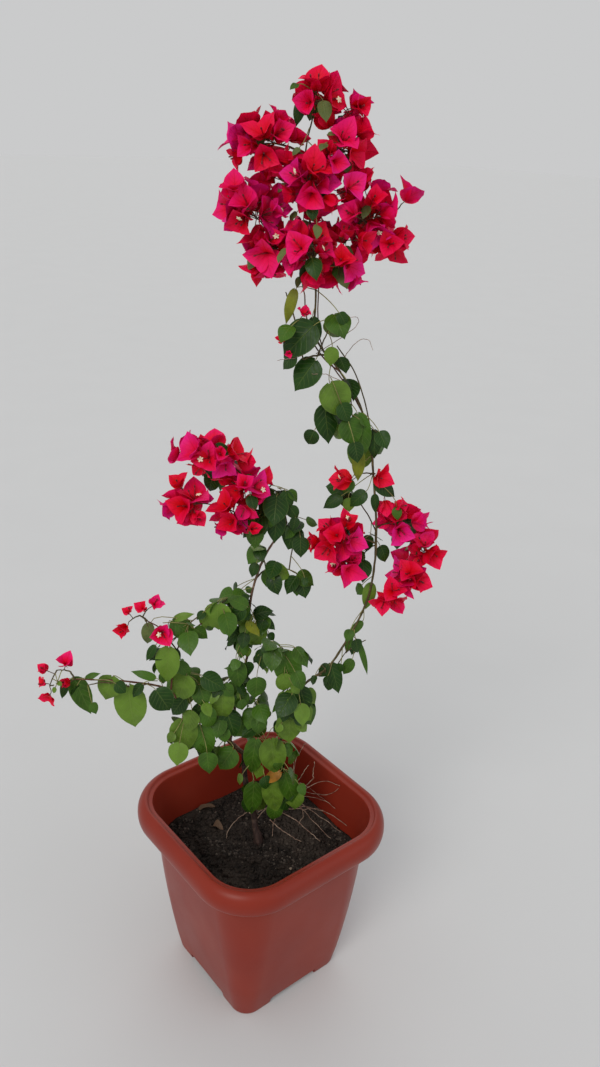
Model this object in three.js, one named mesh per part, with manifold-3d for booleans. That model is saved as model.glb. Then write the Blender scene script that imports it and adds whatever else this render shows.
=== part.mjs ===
// A potted bougainvillea, about 1.75 m tall, in a square terracotta-coloured plastic planter.
// Millimetres, +Z up. The origin is the middle of the planter's underside, with its sides along X and Y.
// The plant stands in a group turned about Z: there the first number of a point runs along the bush's
// broad side, the second runs back from it, and the third is the height above the floor.
import * as THREE from "three";
import { mergeVertices } from "three/addons/utils/BufferGeometryUtils.js";
import Module from "manifold-3d";

const wasm = await Module();
wasm.setup();

// The planter
const RIM_WIDTH = 430;
const RIM_HEIGHT = 47;
const RIM_OVERHANG = 35;
const RIM_ROUND = [
  [4, 0],
  [1, 6],
  [0, 18],
  [1.5, 30],
  [5.5, 39.5],
  [11, 45.5],
  [16, 47],
]; // how far in from its outer face the rim is, and how far up from its lower edge
const LIP = [
  [20, 1.5],
  [22.5, 4.5],
  [31.5, 6],
]; // how far in from the rim's outer face its inner step is, and how far below its top
const POT_HEIGHT = 410;
const FOOT_WIDTH = 262;
const RIM_CORNER = 118;
const BODY_CORNER = 92; // just under the rim
const FOOT_CORNER = 37;
const BULGE = 5; // how far the body stands out of a straight taper at half its height
const FOOT_EDGE = [3, 4]; // how far in and how far up the edge round the foot is
const WALL = 4;
const FEET_HEIGHT = 16;
const FEET_APART = 122;
const PAD_WIDTH = 60;
const CORNER_STEPS = 6;
const SOIL_TOP = 300;
const BODY_LEVELS = [110, 210, SOIL_TOP]; // where its sides bend

// The plant
const PLANT_TURN = -37.7;
const CLEAR = 0.3;
const LIMB_STEPS = 12;
const LIMB_SIDES = 6;
const FLARE_LENGTH = 1 / 7;
const BRANCH_STEPS = 2;
const STEM_THICK = [4.2, 3.6];
const BRANCH_THICK = [2.6, 3];
const STALK_THICK = [1.3, 1.6];
const BLADE_THICK = 1.2;
const BLADE_WIDTH = 0.84; // to its length
const WIDEST = 0.4; // where along a leaf it is widest
const BRACT_LENGTH = [38, 47];
const BRACT_TILT = 0.84; // radians out from the bloom's axis
const NOTCH = 0.6; // how far out the gaps between a bloom's bracts reach, to the bracts' length
const HEART = 0.14; // how far up the middle of a bloom sits, to the bracts' length
const LIMB_MARGIN = 1.8;
const TWIG_MARGIN = 3.5;
const DETOURS = [0, 14, -14, 26, -26];
const BOW = 0.15; // how high a twig bows, to its length
const WAY_CHECKS = [0.1, 0.2, 0.3, 0.4, 0.5, 0.6, 0.7, 0.8, 0.9, 1];
const CHECKS_BY_LIMB = 3; // how many of them are left out where a twig leaves its limb
const FORK_SHARES = [0.4, 0.6, 0.8, 1]; // where along a twig the next one can leave it
const NEAREST_FEET = 6;
const SHORT_OF_MIDDLE = 0.35; // how far before a lobe's middle its twig ends among blooms, to its half size
const MOST_SHORT = 0.6; // the most of a twig's way that is left out for it
const HOLDS = [
  [0, 0.4, 0.6],
  [0, 0, 0.7],
  [0.5, 0, 0.5],
  [-0.5, 0, 0.5],
  [0, -0.4, 0.6],
]; // where a twig that bears hanging leaves can end in a lobe, as shares of its half sizes
const STALK_FEET = 5; // how many places along a twig each stalk picks its foot from
const FEET_STRETCH = 0.6; // how much of a twig has stalks
const SHORTEST_STALK = 5;
const STALK_PULL = 0.5; // how much a leaf or bloom turns to carry on from its stalk
const STALK_COST = 0.01; // what each millimetre of a stalk counts against its foot
const SPREAD = [0.6, 1]; // how far out in a lobe its blooms and leaves stand
const LEAF_OUT = 0.7; // how much a leaf points out of its lobe, where it also hangs
const BLOOM_LIFT = 0.25; // how much a bloom points up
const FACE_OUT = 0.3; // how much a leaf's face turns out of its lobe
const SET_BACK = 0.45; // how far the foot of a bloom or leaf is behind its middle, to its length
const STALK_CLEAR_FROM = 0.2; // past this share of a stalk, nothing crosses it
const LEAST_IN_LINE = 0.05; // cosine of the widest angle between a stalk and the leaf or bloom at its end
const NUDGE = 0.5;
const TRIES = 30;
const SPACE_SLACK = 1.75;
const SPACE_APART = 0.03;

const GREEN = 0x4d7a34;
const CRIMSON = 0xd01446;
const BARK = 0x8a6a55;
const GOLDEN_ANGLE = Math.PI * (3 - Math.sqrt(5));
const UP = new THREE.Vector3(0, 0, 1);
const LIGHT = new THREE.Vector3(0, -0.75, 0.66); // the bush grew by a wall: its leaves face away from that

// Each limb: the limb that it leaves, its points from foot to tip, and its thickness at both ends.
const LIMBS = {
  trunk: {
    points: [[-2, 6, SOIL_TOP + CLEAR], [-19, 33, 372], [-35, 46, 438], [-38, 44, 505]],
    thick: [14, 10],
    flare: 9,
  },
  left_bough: {
    from: "trunk",
    points: [[-38, 44, 500], [-64, 34, 533], [-110, 14, 592], [-152, -5, 630]],
    thick: [9.5, 6.5],
  },
  centre_stem: {
    from: "left_bough",
    points: [[-66, 33, 535], [-55, 41, 640], [-35, 47, 740], [-32, 50, 850], [-10, 48, 942], [31, 38, 1022]],
    thick: [6, 3.6],
  },
  front_stem: {
    from: "trunk",
    points: [[-31, 45, 486], [12, 30, 528], [50, 20, 575], [57, 13, 640]],
    thick: [6.5, 4.6],
  },
  right_stem: {
    from: "front_stem",
    points: [[57, 13, 640], [79, 18, 691], [130, 26, 738], [187, 40, 861], [197, 44, 990], [177, 46, 1156]],
    thick: [4.6, 3.8],
  },
  climbing_stem: {
    from: "right_stem",
    points: [[177, 46, 1156], [149, 45, 1246], [110, 35, 1306], [68, 25, 1362], [63, 35, 1438]],
    thick: [3.8, 3.2],
  },
  twin_stem: {
    from: "right_stem",
    points: [[185, 45.5, 1098], [172, 62, 1200], [142, 60, 1290], [104, 50, 1345]],
    thick: [2.6, 2],
  },
  top_stem: {
    from: "climbing_stem",
    points: [[63, 35, 1438], [53, 46, 1521], [37, 52, 1625], [50, 54, 1710]],
    thick: [3.2, 2],
  },
  left_shoot: {
    from: "left_bough",
    points: [[-152, -5, 630], [-182, -32, 704], [-252, -80, 752], [-335, -110, 774]],
    thick: [4.6, 2.4],
  },
  left_arch: {
    from: "left_shoot",
    points: [[-177, -27, 692], [-172, -20, 740], [-160, -18, 792], [-119, -5, 834], [-69, 15, 850]],
    thick: [3.4, 2],
  },
  left_spray: {
    from: "left_arch",
    points: [[-163, -19, 780], [-190, -36, 836], [-214, -44, 858]],
    thick: [2.6, 2],
  },
};

// Each mass: the limb its stem leaves, its seed, the length of its leaves, how far they hang, and its lobes.
// A lobe: its middle, its half width, half depth and half height, and how many blooms and leaves it has.
const MASSES = {
  base_leaves: {
    on: "trunk", seed: 16, leaf: [54, 73], hang: 1.2,
    lobes: [
      [-12, 4, 486, 40, 36, 38, 0, 4], [30, 0, 500, 38, 34, 38, 0, 4],
      [-12, 14, 398, 28, 28, 40, 0, 3], [30, 16, 410, 30, 30, 42, 0, 3], [64, 18, 428, 28, 28, 36, 0, 2],
    ],
  },
  left_low_leaves: {
    on: "left_bough", seed: 28, leaf: [54, 71], hang: 0.9,
    lobes: [
      [-114, -6, 556, 34, 36, 36, 0, 3], [-156, -18, 584, 35, 34, 38, 0, 3],
      [-122, -20, 640, 27, 30, 27, 0, 2], [-86, 5, 669, 30, 32, 34, 0, 3], [-150, 20, 688, 34, 34, 34, 0, 3],
    ],
  },
  left_shoot_leaves: {
    on: "left_shoot", seed: 30, leaf: [50, 66], hang: 1.1,
    lobes: [
      [-240, -78, 700, 30, 28, 44, 0, 1], [-212, -74, 724, 28, 28, 26, 0, 2],
      [-274, -104, 740, 26, 26, 28, 0, 2], [-314, -114, 740, 24, 24, 30, 0, 2],
    ],
  },
  left_arch_leaves: {
    on: "left_arch", seed: 10, leaf: [40, 59], hang: 0.7,
    lobes: [
      [-142, -34, 826, 28, 28, 26, 0, 3], [-192, -34, 766, 30, 30, 30, 0, 3],
      [-94, -14, 846, 33, 32, 30, 0, 4], [-54, 15, 865, 28, 28, 26, 0, 3],
    ],
  },
  centre_low_leaves: {
    on: "centre_stem", seed: 3, leaf: [42, 61], hang: 0.8,
    lobes: [
      [-56, 14, 676, 36, 38, 46, 0, 7], [-78, 8, 598, 36, 36, 38, 0, 6],
      [-12, 26, 614, 34, 36, 38, 0, 5], [-76, 10, 516, 30, 30, 32, 0, 3],
    ],
  },
  centre_mid_leaves: {
    on: "centre_stem", seed: 29, leaf: [38, 52], hang: 0.7,
    lobes: [
      [-46, 46, 766, 34, 36, 36, 0, 6], [-51, 46, 838, 32, 34, 38, 0, 6],
      [-8, 46, 800, 22, 30, 36, 0, 4], [0, 32, 747, 24, 28, 28, 0, 3],
    ],
  },
  centre_top_leaves: {
    on: "centre_stem", seed: 1, leaf: [50, 71], hang: 0.9,
    lobes: [
      [8, 50, 905, 34, 34, 30, 0, 4], [-14, 46, 948, 26, 28, 28, 0, 3],
      [60, 42, 892, 28, 28, 28, 0, 3], [52, 45, 1000, 30, 32, 36, 0, 4],
    ],
  },
  front_leaves: {
    on: "front_stem", seed: 21, leaf: [47, 66], hang: 0.9,
    lobes: [
      [53, 6, 590, 36, 34, 36, 0, 4], [54, 2, 662, 35, 34, 36, 0, 5], [78, 18, 628, 22, 28, 36, 0, 3],
      [46, 6, 732, 34, 32, 36, 0, 5], [16, 6, 768, 26, 26, 24, 0, 3],
    ],
  },
  right_leaves: {
    on: "right_stem", seed: 30, leaf: [45, 61], hang: 1.2,
    lobes: [
      [132, 20, 690, 26, 26, 26, 0, 3], [155, 25, 735, 23, 25, 30, 0, 2], [107, 2, 722, 24, 24, 26, 0, 1],
      [166, 8, 794, 24, 26, 36, 0, 2], [194, 38, 755, 15, 18, 36, 0, 1],
    ],
  },
  right_bloom_leaves: {
    on: "right_stem", seed: 7, leaf: [50, 68], hang: 0.9,
    lobes: [
      [198, 66, 980, 28, 28, 28, 0, 3], [177, 62, 925, 24, 28, 36, 0, 3],
      [140, 52, 1066, 42, 38, 28, 0, 5], [179, 50, 882, 20, 22, 24, 0, 1],
    ],
  },
  climbing_low_leaves: {
    on: "climbing_stem", seed: 17, leaf: [54, 70], hang: 1,
    lobes: [
      [112, 18, 1252, 34, 32, 32, 0, 3], [137, 18, 1196, 34, 32, 34, 0, 3], [90, 22, 1210, 28, 28, 32, 0, 2],
      [182, 26, 1182, 26, 26, 30, 0, 2], [160, 64, 1140, 24, 24, 30, 0, 1],
    ],
  },
  climbing_high_leaves: {
    on: "climbing_stem", seed: 3, leaf: [50, 68], hang: 1,
    lobes: [
      [47, 6, 1312, 28, 28, 25, 0, 2], [34, 8, 1366, 29, 28, 26, 0, 2], [94, 14, 1380, 26, 28, 26, 0, 2],
      [104, 4, 1322, 26, 26, 26, 0, 1], [14, 25, 1414, 22, 22, 30, 0, 1],
      [44, 10, 1410, 30, 30, 28, 1, 0], [0, 10, 1346, 28, 28, 28, 1, 0],
    ],
  },
  left_tip_blooms: {
    on: "left_shoot", seed: 6, leaf: [28, 35], hang: 0.4, small: 0.72,
    lobes: [
      [-348, -115, 812, 22, 22, 22, 1, 0], [-384, -120, 800, 22, 22, 22, 1, 0],
      [-386, -120, 744, 22, 22, 22, 1, 0], [-362, -118, 768, 22, 22, 22, 1, 1],
    ],
  },
  left_spray_blooms: {
    on: "left_spray", seed: 13, leaf: [28, 35], hang: 0.4, small: 0.78,
    lobes: [
      [-244, -50, 886, 24, 24, 24, 1, 0], [-266, -52, 846, 24, 24, 24, 1, 0],
      [-200, -46, 904, 24, 24, 24, 1, 0], [-200, -56, 824, 28, 28, 28, 1, 0],
    ],
  },
  left_blooms: {
    on: "centre_stem", seed: 16, leaf: [50, 66], hang: 0.8,
    lobes: [
      [14, 34, 1060, 32, 32, 30, 0, 4], [-45, 10, 1105, 46, 46, 46, 7, 1],
      [-21, 26, 1026, 24, 26, 26, 0, 2], [-62, 6, 1046, 38, 40, 34, 4, 0],
      [-100, -4, 1168, 64, 50, 34, 8, 0], [-138, -8, 1078, 42, 42, 40, 5, 0],
      [12, 30, 1108, 24, 24, 24, 1, 0],
    ],
  },
  right_inner_blooms: {
    on: "right_stem", seed: 18, leaf: [47, 61], hang: 0.8,
    lobes: [[122, 25, 1008, 48, 44, 44, 8, 0], [143, 36, 940, 32, 34, 36, 4, 0]],
  },
  right_outer_blooms: {
    on: "right_stem", seed: 8, leaf: [47, 61], hang: 0.8,
    lobes: [
      [240, 50, 1030, 50, 44, 36, 7, 1], [290, 54, 970, 34, 38, 38, 4, 0],
      [264, 50, 918, 38, 36, 36, 5, 0], [230, 46, 874, 28, 28, 26, 2, 0],
    ],
  },
  right_upper_blooms: {
    on: "right_stem", seed: 1, leaf: [42, 54], hang: 0.8,
    lobes: [[190, 28, 1126, 26, 26, 26, 1, 0], [122, 22, 1122, 26, 26, 26, 1, 0]],
  },
  top_low_left_blooms: {
    on: "top_stem", seed: 1, leaf: [35, 47], hang: 0.8,
    lobes: [[-16, 50, 1497, 44, 48, 40, 5, 1], [-48, 46, 1560, 50, 55, 46, 8, 0]],
  },
  top_low_middle_blooms: {
    on: "top_stem", seed: 11, leaf: [35, 50], hang: 0.8,
    lobes: [[46, 20, 1500, 46, 48, 53, 6, 2], [66, 84, 1508, 40, 42, 46, 4, 1]],
  },
  top_low_right_blooms: {
    on: "top_stem", seed: 5, leaf: [35, 50], hang: 0.8,
    lobes: [
      [102, 48, 1484, 46, 46, 44, 5, 1], [140, 56, 1562, 53, 55, 51, 8, 0],
      [180, 66, 1518, 33, 35, 35, 3, 0], [208, 78, 1594, 26, 26, 26, 1, 0],
    ],
  },
  top_middle_blooms: {
    on: "top_stem", seed: 21, leaf: [35, 47], hang: 0.8,
    lobes: [[46, 22, 1606, 48, 46, 51, 7, 1], [44, 88, 1600, 46, 42, 48, 5, 0]],
  },
  top_left_blooms: {
    on: "top_stem", seed: 18, leaf: [33, 45], hang: 0.7,
    lobes: [[-30, 44, 1658, 55, 51, 44, 9, 1]],
  },
  top_right_blooms: {
    on: "top_stem", seed: 13, leaf: [33, 45], hang: 0.7,
    lobes: [[100, 60, 1652, 46, 48, 51, 8, 1]],
  },
  crown_blooms: {
    on: "top_stem", seed: 2, leaf: [31, 42], hang: 0.5,
    lobes: [[52, 58, 1720, 42, 40, 35, 6, 2], [105, 66, 1710, 29, 29, 26, 2, 0]],
  },
  dry_twigs: {
    on: "trunk", seed: 6, bare: true, leaf: [20, 30], hang: 0.6,
    lobes: [[60, 10, 352, 60, 50, 30, 0, 6], [-70, 20, 340, 40, 40, 22, 0, 3]],
  },
};

const point = (p) => new THREE.Vector3(...p);
const mix = (range, share) => range[0] + (range[1] - range[0]) * share;

// The same run of numbers from 0 to 1 for the same seed.
function random(seed) {
  let state = seed;
  return () => {
    state = (state + 0x6d2b79f5) >>> 0;
    let t = Math.imul(state ^ (state >>> 15), state | 1);
    t ^= t + Math.imul(t ^ (t >>> 7), t | 61);
    return ((t ^ (t >>> 14)) >>> 0) / 4294967296;
  };
}

function solidOf(geometry) {
  geometry.deleteAttribute("normal");
  geometry.deleteAttribute("uv");
  const merged = mergeVertices(geometry, 1e-4);
  return new wasm.Manifold(
    new wasm.Mesh({
      numProp: 3,
      vertProperties: merged.attributes.position.array,
      triVerts: new Uint32Array(merged.index.array),
    }),
  );
}

const skinOf = (points, index) => solidOf(new THREE.BufferGeometry().setFromPoints(points).setIndex(index));

// A closed skin over rings of points that have the same count, with a flat fan over the first and last one.
function loft(rings) {
  const count = rings[0].length;
  const index = [];
  for (let r = 0; r + 1 < rings.length; r++)
    for (let i = 0; i < count; i++) {
      const [a, b] = [r * count + i, r * count + ((i + 1) % count)];
      index.push(a, b, b + count, a, b + count, a + count);
    }
  const last = (rings.length - 1) * count;
  for (let i = 1; i + 1 < count; i++) {
    index.push(0, i + 1, i);
    index.push(last, last + i, last + i + 1);
  }
  return skinOf(rings.flat(), index);
}

function roundedSquare(half, radius, height) {
  const ring = [];
  for (let corner = 0; corner < 4; corner++)
    for (let step = 0; step <= CORNER_STEPS; step++) {
      const turn = ((corner + step / CORNER_STEPS) * Math.PI) / 2;
      const [side, front] = [
        [1, 1],
        [-1, 1],
        [-1, -1],
        [1, -1],
      ][corner];
      ring.push(
        new THREE.Vector3(
          side * (half - radius) + radius * Math.cos(turn),
          front * (half - radius) + radius * Math.sin(turn),
          height,
        ),
      );
    }
  return ring;
}

function boxBetween(low, high) {
  const size = point(high).sub(point(low));
  const middle = point(low).add(point(high)).multiplyScalar(0.5);
  return solidOf(new THREE.BoxGeometry(size.x, size.y, size.z).translate(middle.x, middle.y, middle.z));
}

// The body's half width and corner radius at a height, on a slightly bulging taper from foot to rim.
const BODY_TOP = POT_HEIGHT - RIM_HEIGHT;
const bodyCorner = (height) => mix([FOOT_CORNER, BODY_CORNER], height / BODY_TOP);
const bodyHalf = (height) => {
  const share = height / BODY_TOP;
  const straight = mix([FOOT_WIDTH / 2, RIM_WIDTH / 2 - RIM_OVERHANG], share);
  return straight + BULGE * 4 * share * (1 - share);
};
const bodyRing = (height, inward) =>
  roundedSquare(bodyHalf(height) - inward, bodyCorner(height) - inward, height);

function potSolid() {
  const floor = FEET_HEIGHT + WALL;
  const rimRing = (inward, height) => roundedSquare(RIM_WIDTH / 2 - inward, RIM_CORNER - inward, height);
  const outside = [
    roundedSquare(bodyHalf(0) - FOOT_EDGE[0], FOOT_CORNER - FOOT_EDGE[0], 0),
    ...[FOOT_EDGE[1], ...BODY_LEVELS, BODY_TOP].map((height) => bodyRing(height, 0)),
    ...RIM_ROUND.map(([inward, up]) => rimRing(inward, BODY_TOP + up)),
  ];
  const inside = [
    ...LIP.map(([inward, down]) => rimRing(inward, POT_HEIGHT - down)),
    ...[BODY_TOP, ...BODY_LEVELS.toReversed(), floor].map((height) => bodyRing(height, WALL)),
  ];
  const [gap, pad, reach] = [FEET_APART / 2, PAD_WIDTH / 2, FOOT_WIDTH];
  const channels = [
    boxBetween([pad, -gap, -1], [reach, gap, FEET_HEIGHT]),
    boxBetween([-reach, -gap, -1], [-pad, gap, FEET_HEIGHT]),
    boxBetween([-gap, pad, -1], [gap, reach, FEET_HEIGHT]),
    boxBetween([-gap, -reach, -1], [gap, -pad, FEET_HEIGHT]),
  ];
  return loft([...outside, ...inside]).subtract(wasm.Manifold.union(channels));
}

function soilSolid() {
  const bottom = FEET_HEIGHT + WALL + CLEAR;
  return loft([bottom, ...BODY_LEVELS].map((height) => bodyRing(height, WALL + CLEAR)));
}

const curveOf = (points) => new THREE.CatmullRomCurve3(points, false, "catmullrom", 0.5);

// A limb: a round tube that tapers along its curve, wider at its foot where it has a flare.
function limbSolid({ points, thick, flare = 0 }, extra = 0) {
  const curve = curveOf(points.map(point));
  const frames = curve.computeFrenetFrames(LIMB_STEPS, false);
  const rings = [];
  for (let step = 0; step <= LIMB_STEPS; step++) {
    const along = step / LIMB_STEPS;
    const spread = flare * Math.max(0, 1 - along / FLARE_LENGTH) ** 2;
    const radius = (mix(thick, along) + spread) / 2 + extra;
    const centre = curve.getPointAt(along);
    if (step === 0) centre.addScaledVector(frames.tangents[0], -extra);
    if (step === LIMB_STEPS) centre.addScaledVector(frames.tangents[step], extra);
    const ring = [];
    for (let side = 0; side < LIMB_SIDES; side++) {
      const turn = (2 * Math.PI * side) / LIMB_SIDES;
      const out = centre
        .clone()
        .addScaledVector(frames.normals[step], radius * Math.cos(turn))
        .addScaledVector(frames.binormals[step], radius * Math.sin(turn));
      ring.push(out);
    }
    rings.push(ring);
  }
  if (flare) rings[0].forEach((p) => (p.z = points[0][2]));
  return loft(rings);
}

const stretchesOf = (line) => line.slice(1).map((p, i) => [line[i], p]);
const distanceTo = (p, from, to) =>
  new THREE.Line3(from, to).closestPointToPoint(p, true, new THREE.Vector3()).distanceTo(p);

const limbNames = Object.keys(LIMBS);
const limbLines = limbNames.map((name) => curveOf(LIMBS[name].points.map(point)).getPoints(LIMB_STEPS * 2));
const limbStretches = limbNames.flatMap((name, n) =>
  stretchesOf(limbLines[n]).map(([from, to], i) => ({
    from,
    to,
    near: mix(LIMBS[name].thick, i / (LIMB_STEPS * 2)) / 2 + LIMB_MARGIN,
  })),
);

const touchesLimb = (p) => limbStretches.some(({ from, to, near }) => distanceTo(p, from, to) < near);

// How far a point is out in a lobe, as a share of the lobe's own half sizes.
const outness = (p, [u, v, z, wide, deep, high]) =>
  Math.hypot((p.x - u) / wide, (p.y - v) / deep, (p.z - z) / high);
const spaceOf = (mass, p) => Math.min(...mass.lobes.map((lobe) => outness(p, lobe)));

function inOwnSpace(mass, p) {
  const own = spaceOf(mass, p);
  if (own > SPACE_SLACK) return false;
  return Object.values(MASSES).every((other) => other === mass || spaceOf(other, p) > own + SPACE_APART);
}

// The point a share of the way along a line of evenly spaced points.
function onLine(line, share) {
  const place = share * (line.length - 1);
  const step = Math.min(Math.floor(place), line.length - 2);
  return line[step].clone().lerp(line[step + 1], place - step);
}

// A line that bows up from its foot to its end, and out to one side where a limb is in its way.
function clearLine(foot, end, checks) {
  const rise = BOW * foot.distanceTo(end);
  const sideways = end.clone().sub(foot).cross(UP).normalize();
  for (const detour of DETOURS) {
    const bow = foot.clone().lerp(end, 0.5).addScaledVector(UP, rise).addScaledVector(sideways, detour);
    const curve = new THREE.QuadraticBezierCurve3(foot, bow, end);
    const onWay = checks.map((share) => curve.getPoint(share));
    if (!onWay.some(touchesLimb)) return curve.getPoints(BRANCH_STEPS);
  }
  return null;
}

// Where a line into a lobe can end: above its middle where leaves hang, and before it among blooms.
function endsIn(foot, lobe) {
  const middle = point(lobe);
  const [, , , wide, deep, high, blooms, leaves] = lobe;
  if (leaves > blooms)
    return HOLDS.map(([u, v, z]) => new THREE.Vector3(u * wide, v * deep, z * high).add(middle));
  const short = blooms + leaves > 1 ? SHORT_OF_MIDDLE : 1;
  const back = (short * (wide + deep + high)) / 3 / foot.distanceTo(middle);
  return [middle.lerp(foot, Math.min(back, MOST_SHORT))];
}

// The lines of a mass: its stem, from the limb to the first lobe, and a branch from it to each further lobe.
function branchLines(mass) {
  const limb = [...limbLines[limbNames.indexOf(mass.on)]];
  const lines = [];
  mass.lobes.forEach((lobe) => {
    const below = point(lobe).addScaledVector(UP, -0.5 * lobe[5]);
    const grown = lines.flatMap((line) => (line ? FORK_SHARES.map((share) => onLine(line, share)) : []));
    const feet = (lines.length ? grown : limb).sort((a, b) => a.distanceTo(below) - b.distanceTo(below));
    const near = feet.slice(0, NEAREST_FEET);
    const checks = lines.length ? WAY_CHECKS : WAY_CHECKS.slice(CHECKS_BY_LIMB);
    const ways = near.flatMap((foot) => endsIn(foot, lobe).map((end) => clearLine(foot, end, checks)));
    lines.push(ways.find((line) => line) ?? null);
  });
  return lines;
}

const nudgeOf = (next) => new THREE.Vector3(next() - 0.5, next() - 0.5, next() - 0.5).multiplyScalar(NUDGE);

// Directions spread evenly over a ball, each nudged by the seeded numbers.
function direction(k, count, phase, next) {
  const height = 1 - (2 * k + 1) / count;
  const turn = phase + k * GOLDEN_ANGLE;
  const flat = Math.sqrt(1 - height * height);
  const even = new THREE.Vector3(flat * Math.cos(turn), flat * Math.sin(turn), height);
  return even.add(nudgeOf(next)).normalize();
}

// The foot on a line from which a stalk runs straightest into what it bears.
function footFor(base, axis, line, shift) {
  const step = FEET_STRETCH / STALK_FEET;
  const feet = Array.from({ length: STALK_FEET }, (_, i) => onLine(line, 0.99 - step * (i + shift)));
  const worthOf = (foot) => base.clone().sub(foot).normalize().dot(axis) - STALK_COST * foot.distanceTo(base);
  return feet.reduce((best, foot) => (worthOf(foot) > worthOf(best) ? foot : best));
}

// One bloom or leaf of a lobe, k out of its count, with the foot of its stalk on the lobe's line.
function organAt(mass, lobe, line, k, phase, next) {
  const [, , , wide, deep, high, blooms, leaves] = lobe;
  const count = blooms + leaves;
  const middle = point(lobe);
  const away = middle.clone().sub(line[0]).normalize();
  const kind = mass.bare ? "bare" : k < blooms ? "bloom" : "leaf";
  const out = direction(k, count, phase, next)
    .multiplyScalar((count - 1) / count)
    .addScaledVector(away, 1 / count)
    .normalize();
  const reach = (1 - 1 / count) * mix(SPREAD, next());
  const centre = middle.add(new THREE.Vector3(wide, deep, high).multiply(out).multiplyScalar(reach));
  const size = mix(kind === "bloom" ? BRACT_LENGTH : mass.leaf, next()) * (mass.small ?? 1);
  const axis = out.clone().multiplyScalar(kind === "bloom" ? 1 : LEAF_OUT).add(nudgeOf(next));
  axis.addScaledVector(UP, kind === "bloom" ? BLOOM_LIFT : -mass.hang).normalize();
  const base = centre.addScaledVector(axis, -SET_BACK * size);
  const foot = footFor(base, axis, line, k / count);
  axis.addScaledVector(base.clone().sub(foot).normalize(), STALK_PULL).normalize();
  const face = LIGHT.clone().addScaledVector(out, FACE_OUT);
  face.addScaledVector(axis, -face.dot(axis)).normalize();
  return { kind, axis, face, base, size, foot, turn: 2 * Math.PI * next() };
}

// Points over an organ's blades, and its blades as thin faces with their edges.
function spotsOf(organ) {
  const { tips, sides } = outlineOf(organ);
  const rim = [...tips, ...sides];
  return [organ.base, ...rim, ...rim.map((p) => p.clone().lerp(organ.base, 0.5))];
}

function facesOf(organ) {
  const { tips, sides } = outlineOf(organ);
  if (organ.kind === "bare") return [];
  if (organ.kind === "leaf") return sides.map((side) => [organ.base, side, tips[0]]);
  return tips.flatMap((tip, i) => [sides[i], sides[(i + 2) % 3]].map((side) => [organ.base, side, tip]));
}

const edgesOf = (face) => [0, 1, 2].map((i) => [face[i], face[(i + 1) % 3]]);

// Whether the stretch from one point to another passes through a triangle.
function pierces([from, to], [a, b, c]) {
  const ray = to.clone().sub(from);
  const [ab, ac] = [b.clone().sub(a), c.clone().sub(a)];
  const across = ray.clone().cross(ac);
  const slope = ab.dot(across);
  if (Math.abs(slope) < 1e-9) return false;
  const away = from.clone().sub(a);
  const u = away.dot(across) / slope;
  const turned = away.cross(ab);
  const v = ray.dot(turned) / slope;
  const along = ac.dot(turned) / slope;
  return u > 0 && v > 0 && u + v < 1 && along > 0 && along < 1;
}

const crosses = (edges, faces) => edges.some((edge) => faces.some((face) => pierces(edge, face)));

function keeps(mass, organ, faces, taken) {
  const way = organ.base.clone().sub(organ.foot);
  if (way.length() < SHORTEST_STALK || way.normalize().dot(organ.axis) < LEAST_IN_LINE) return false;
  const stalk = [0.25, 0.5, 0.75].map((share) => organ.foot.clone().lerp(organ.base, share));
  const spots = [...stalk, ...spotsOf(organ)];
  if (spots.some((p) => touchesLimb(p) || !inOwnSpace(mass, p))) return false;
  const nearTwig = (p) => taken.strange.some(([from, to]) => distanceTo(p, from, to) < TWIG_MARGIN);
  if (spots.some(nearTwig)) return false;
  const edges = [...faces.flatMap(edgesOf), [organ.foot, organ.base]];
  return !crosses(edges, taken.faces) && !crosses([...taken.edges, ...taken.strange], faces);
}

const massLines = new Map(Object.values(MASSES).map((mass) => [mass, branchLines(mass)]));
const twigsOf = (mass) => massLines.get(mass).flatMap((line) => (line ? stretchesOf(line) : []));

// All the blooms and leaves of a mass. Each gets its tries to keep to its space, clear of limbs and others.
function organsOf(mass, next) {
  const lines = massLines.get(mass);
  const organs = [];
  const others = Object.values(MASSES).filter((other) => other !== mass);
  const taken = { faces: [], edges: twigsOf(mass), strange: others.flatMap(twigsOf) };
  mass.lobes.forEach((lobe, i) => {
    const phase = 2 * Math.PI * next();
    for (let k = 0; lines[i] && k < lobe[6] + lobe[7]; k++)
      for (let attempt = 0; attempt < TRIES; attempt++) {
        const organ = organAt(mass, lobe, lines[i], k, phase, next);
        const faces = facesOf(organ);
        if (!keeps(mass, organ, faces, taken)) continue;
        const stalk = [organ.foot.clone().lerp(organ.base, STALK_CLEAR_FROM), organ.base];
        organs.push(organ);
        taken.faces.push(...faces);
        taken.edges.push(...faces.flatMap(edgesOf), stalk);
        break;
      }
  });
  return organs;
}

// The tip and the two or three widest points of an organ's outline.
function outlineOf({ kind, axis, face, base, size, turn }) {
  if (kind === "bare") return { tips: [base], sides: [] };
  if (kind === "bloom") {
    const out = (sixth) => face.clone().applyAxisAngle(axis, turn + (sixth * Math.PI) / 3);
    const reach = (sixth, share) =>
      base
        .clone()
        .addScaledVector(axis, share * size * Math.cos(BRACT_TILT))
        .addScaledVector(out(sixth), share * size * Math.sin(BRACT_TILT));
    const tips = [0, 2, 4].map((sixth) => reach(sixth, 1));
    return { tips, sides: [1, 3, 5].map((sixth) => reach(sixth, NOTCH)) };
  }
  const side = face.clone().cross(axis);
  const wide = base.clone().addScaledVector(axis, WIDEST * size);
  return {
    tips: [base.clone().addScaledVector(axis, size)],
    sides: [1, -1].map((sign) => wide.clone().addScaledVector(side, (sign * size * BLADE_WIDTH) / 2)),
  };
}

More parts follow.
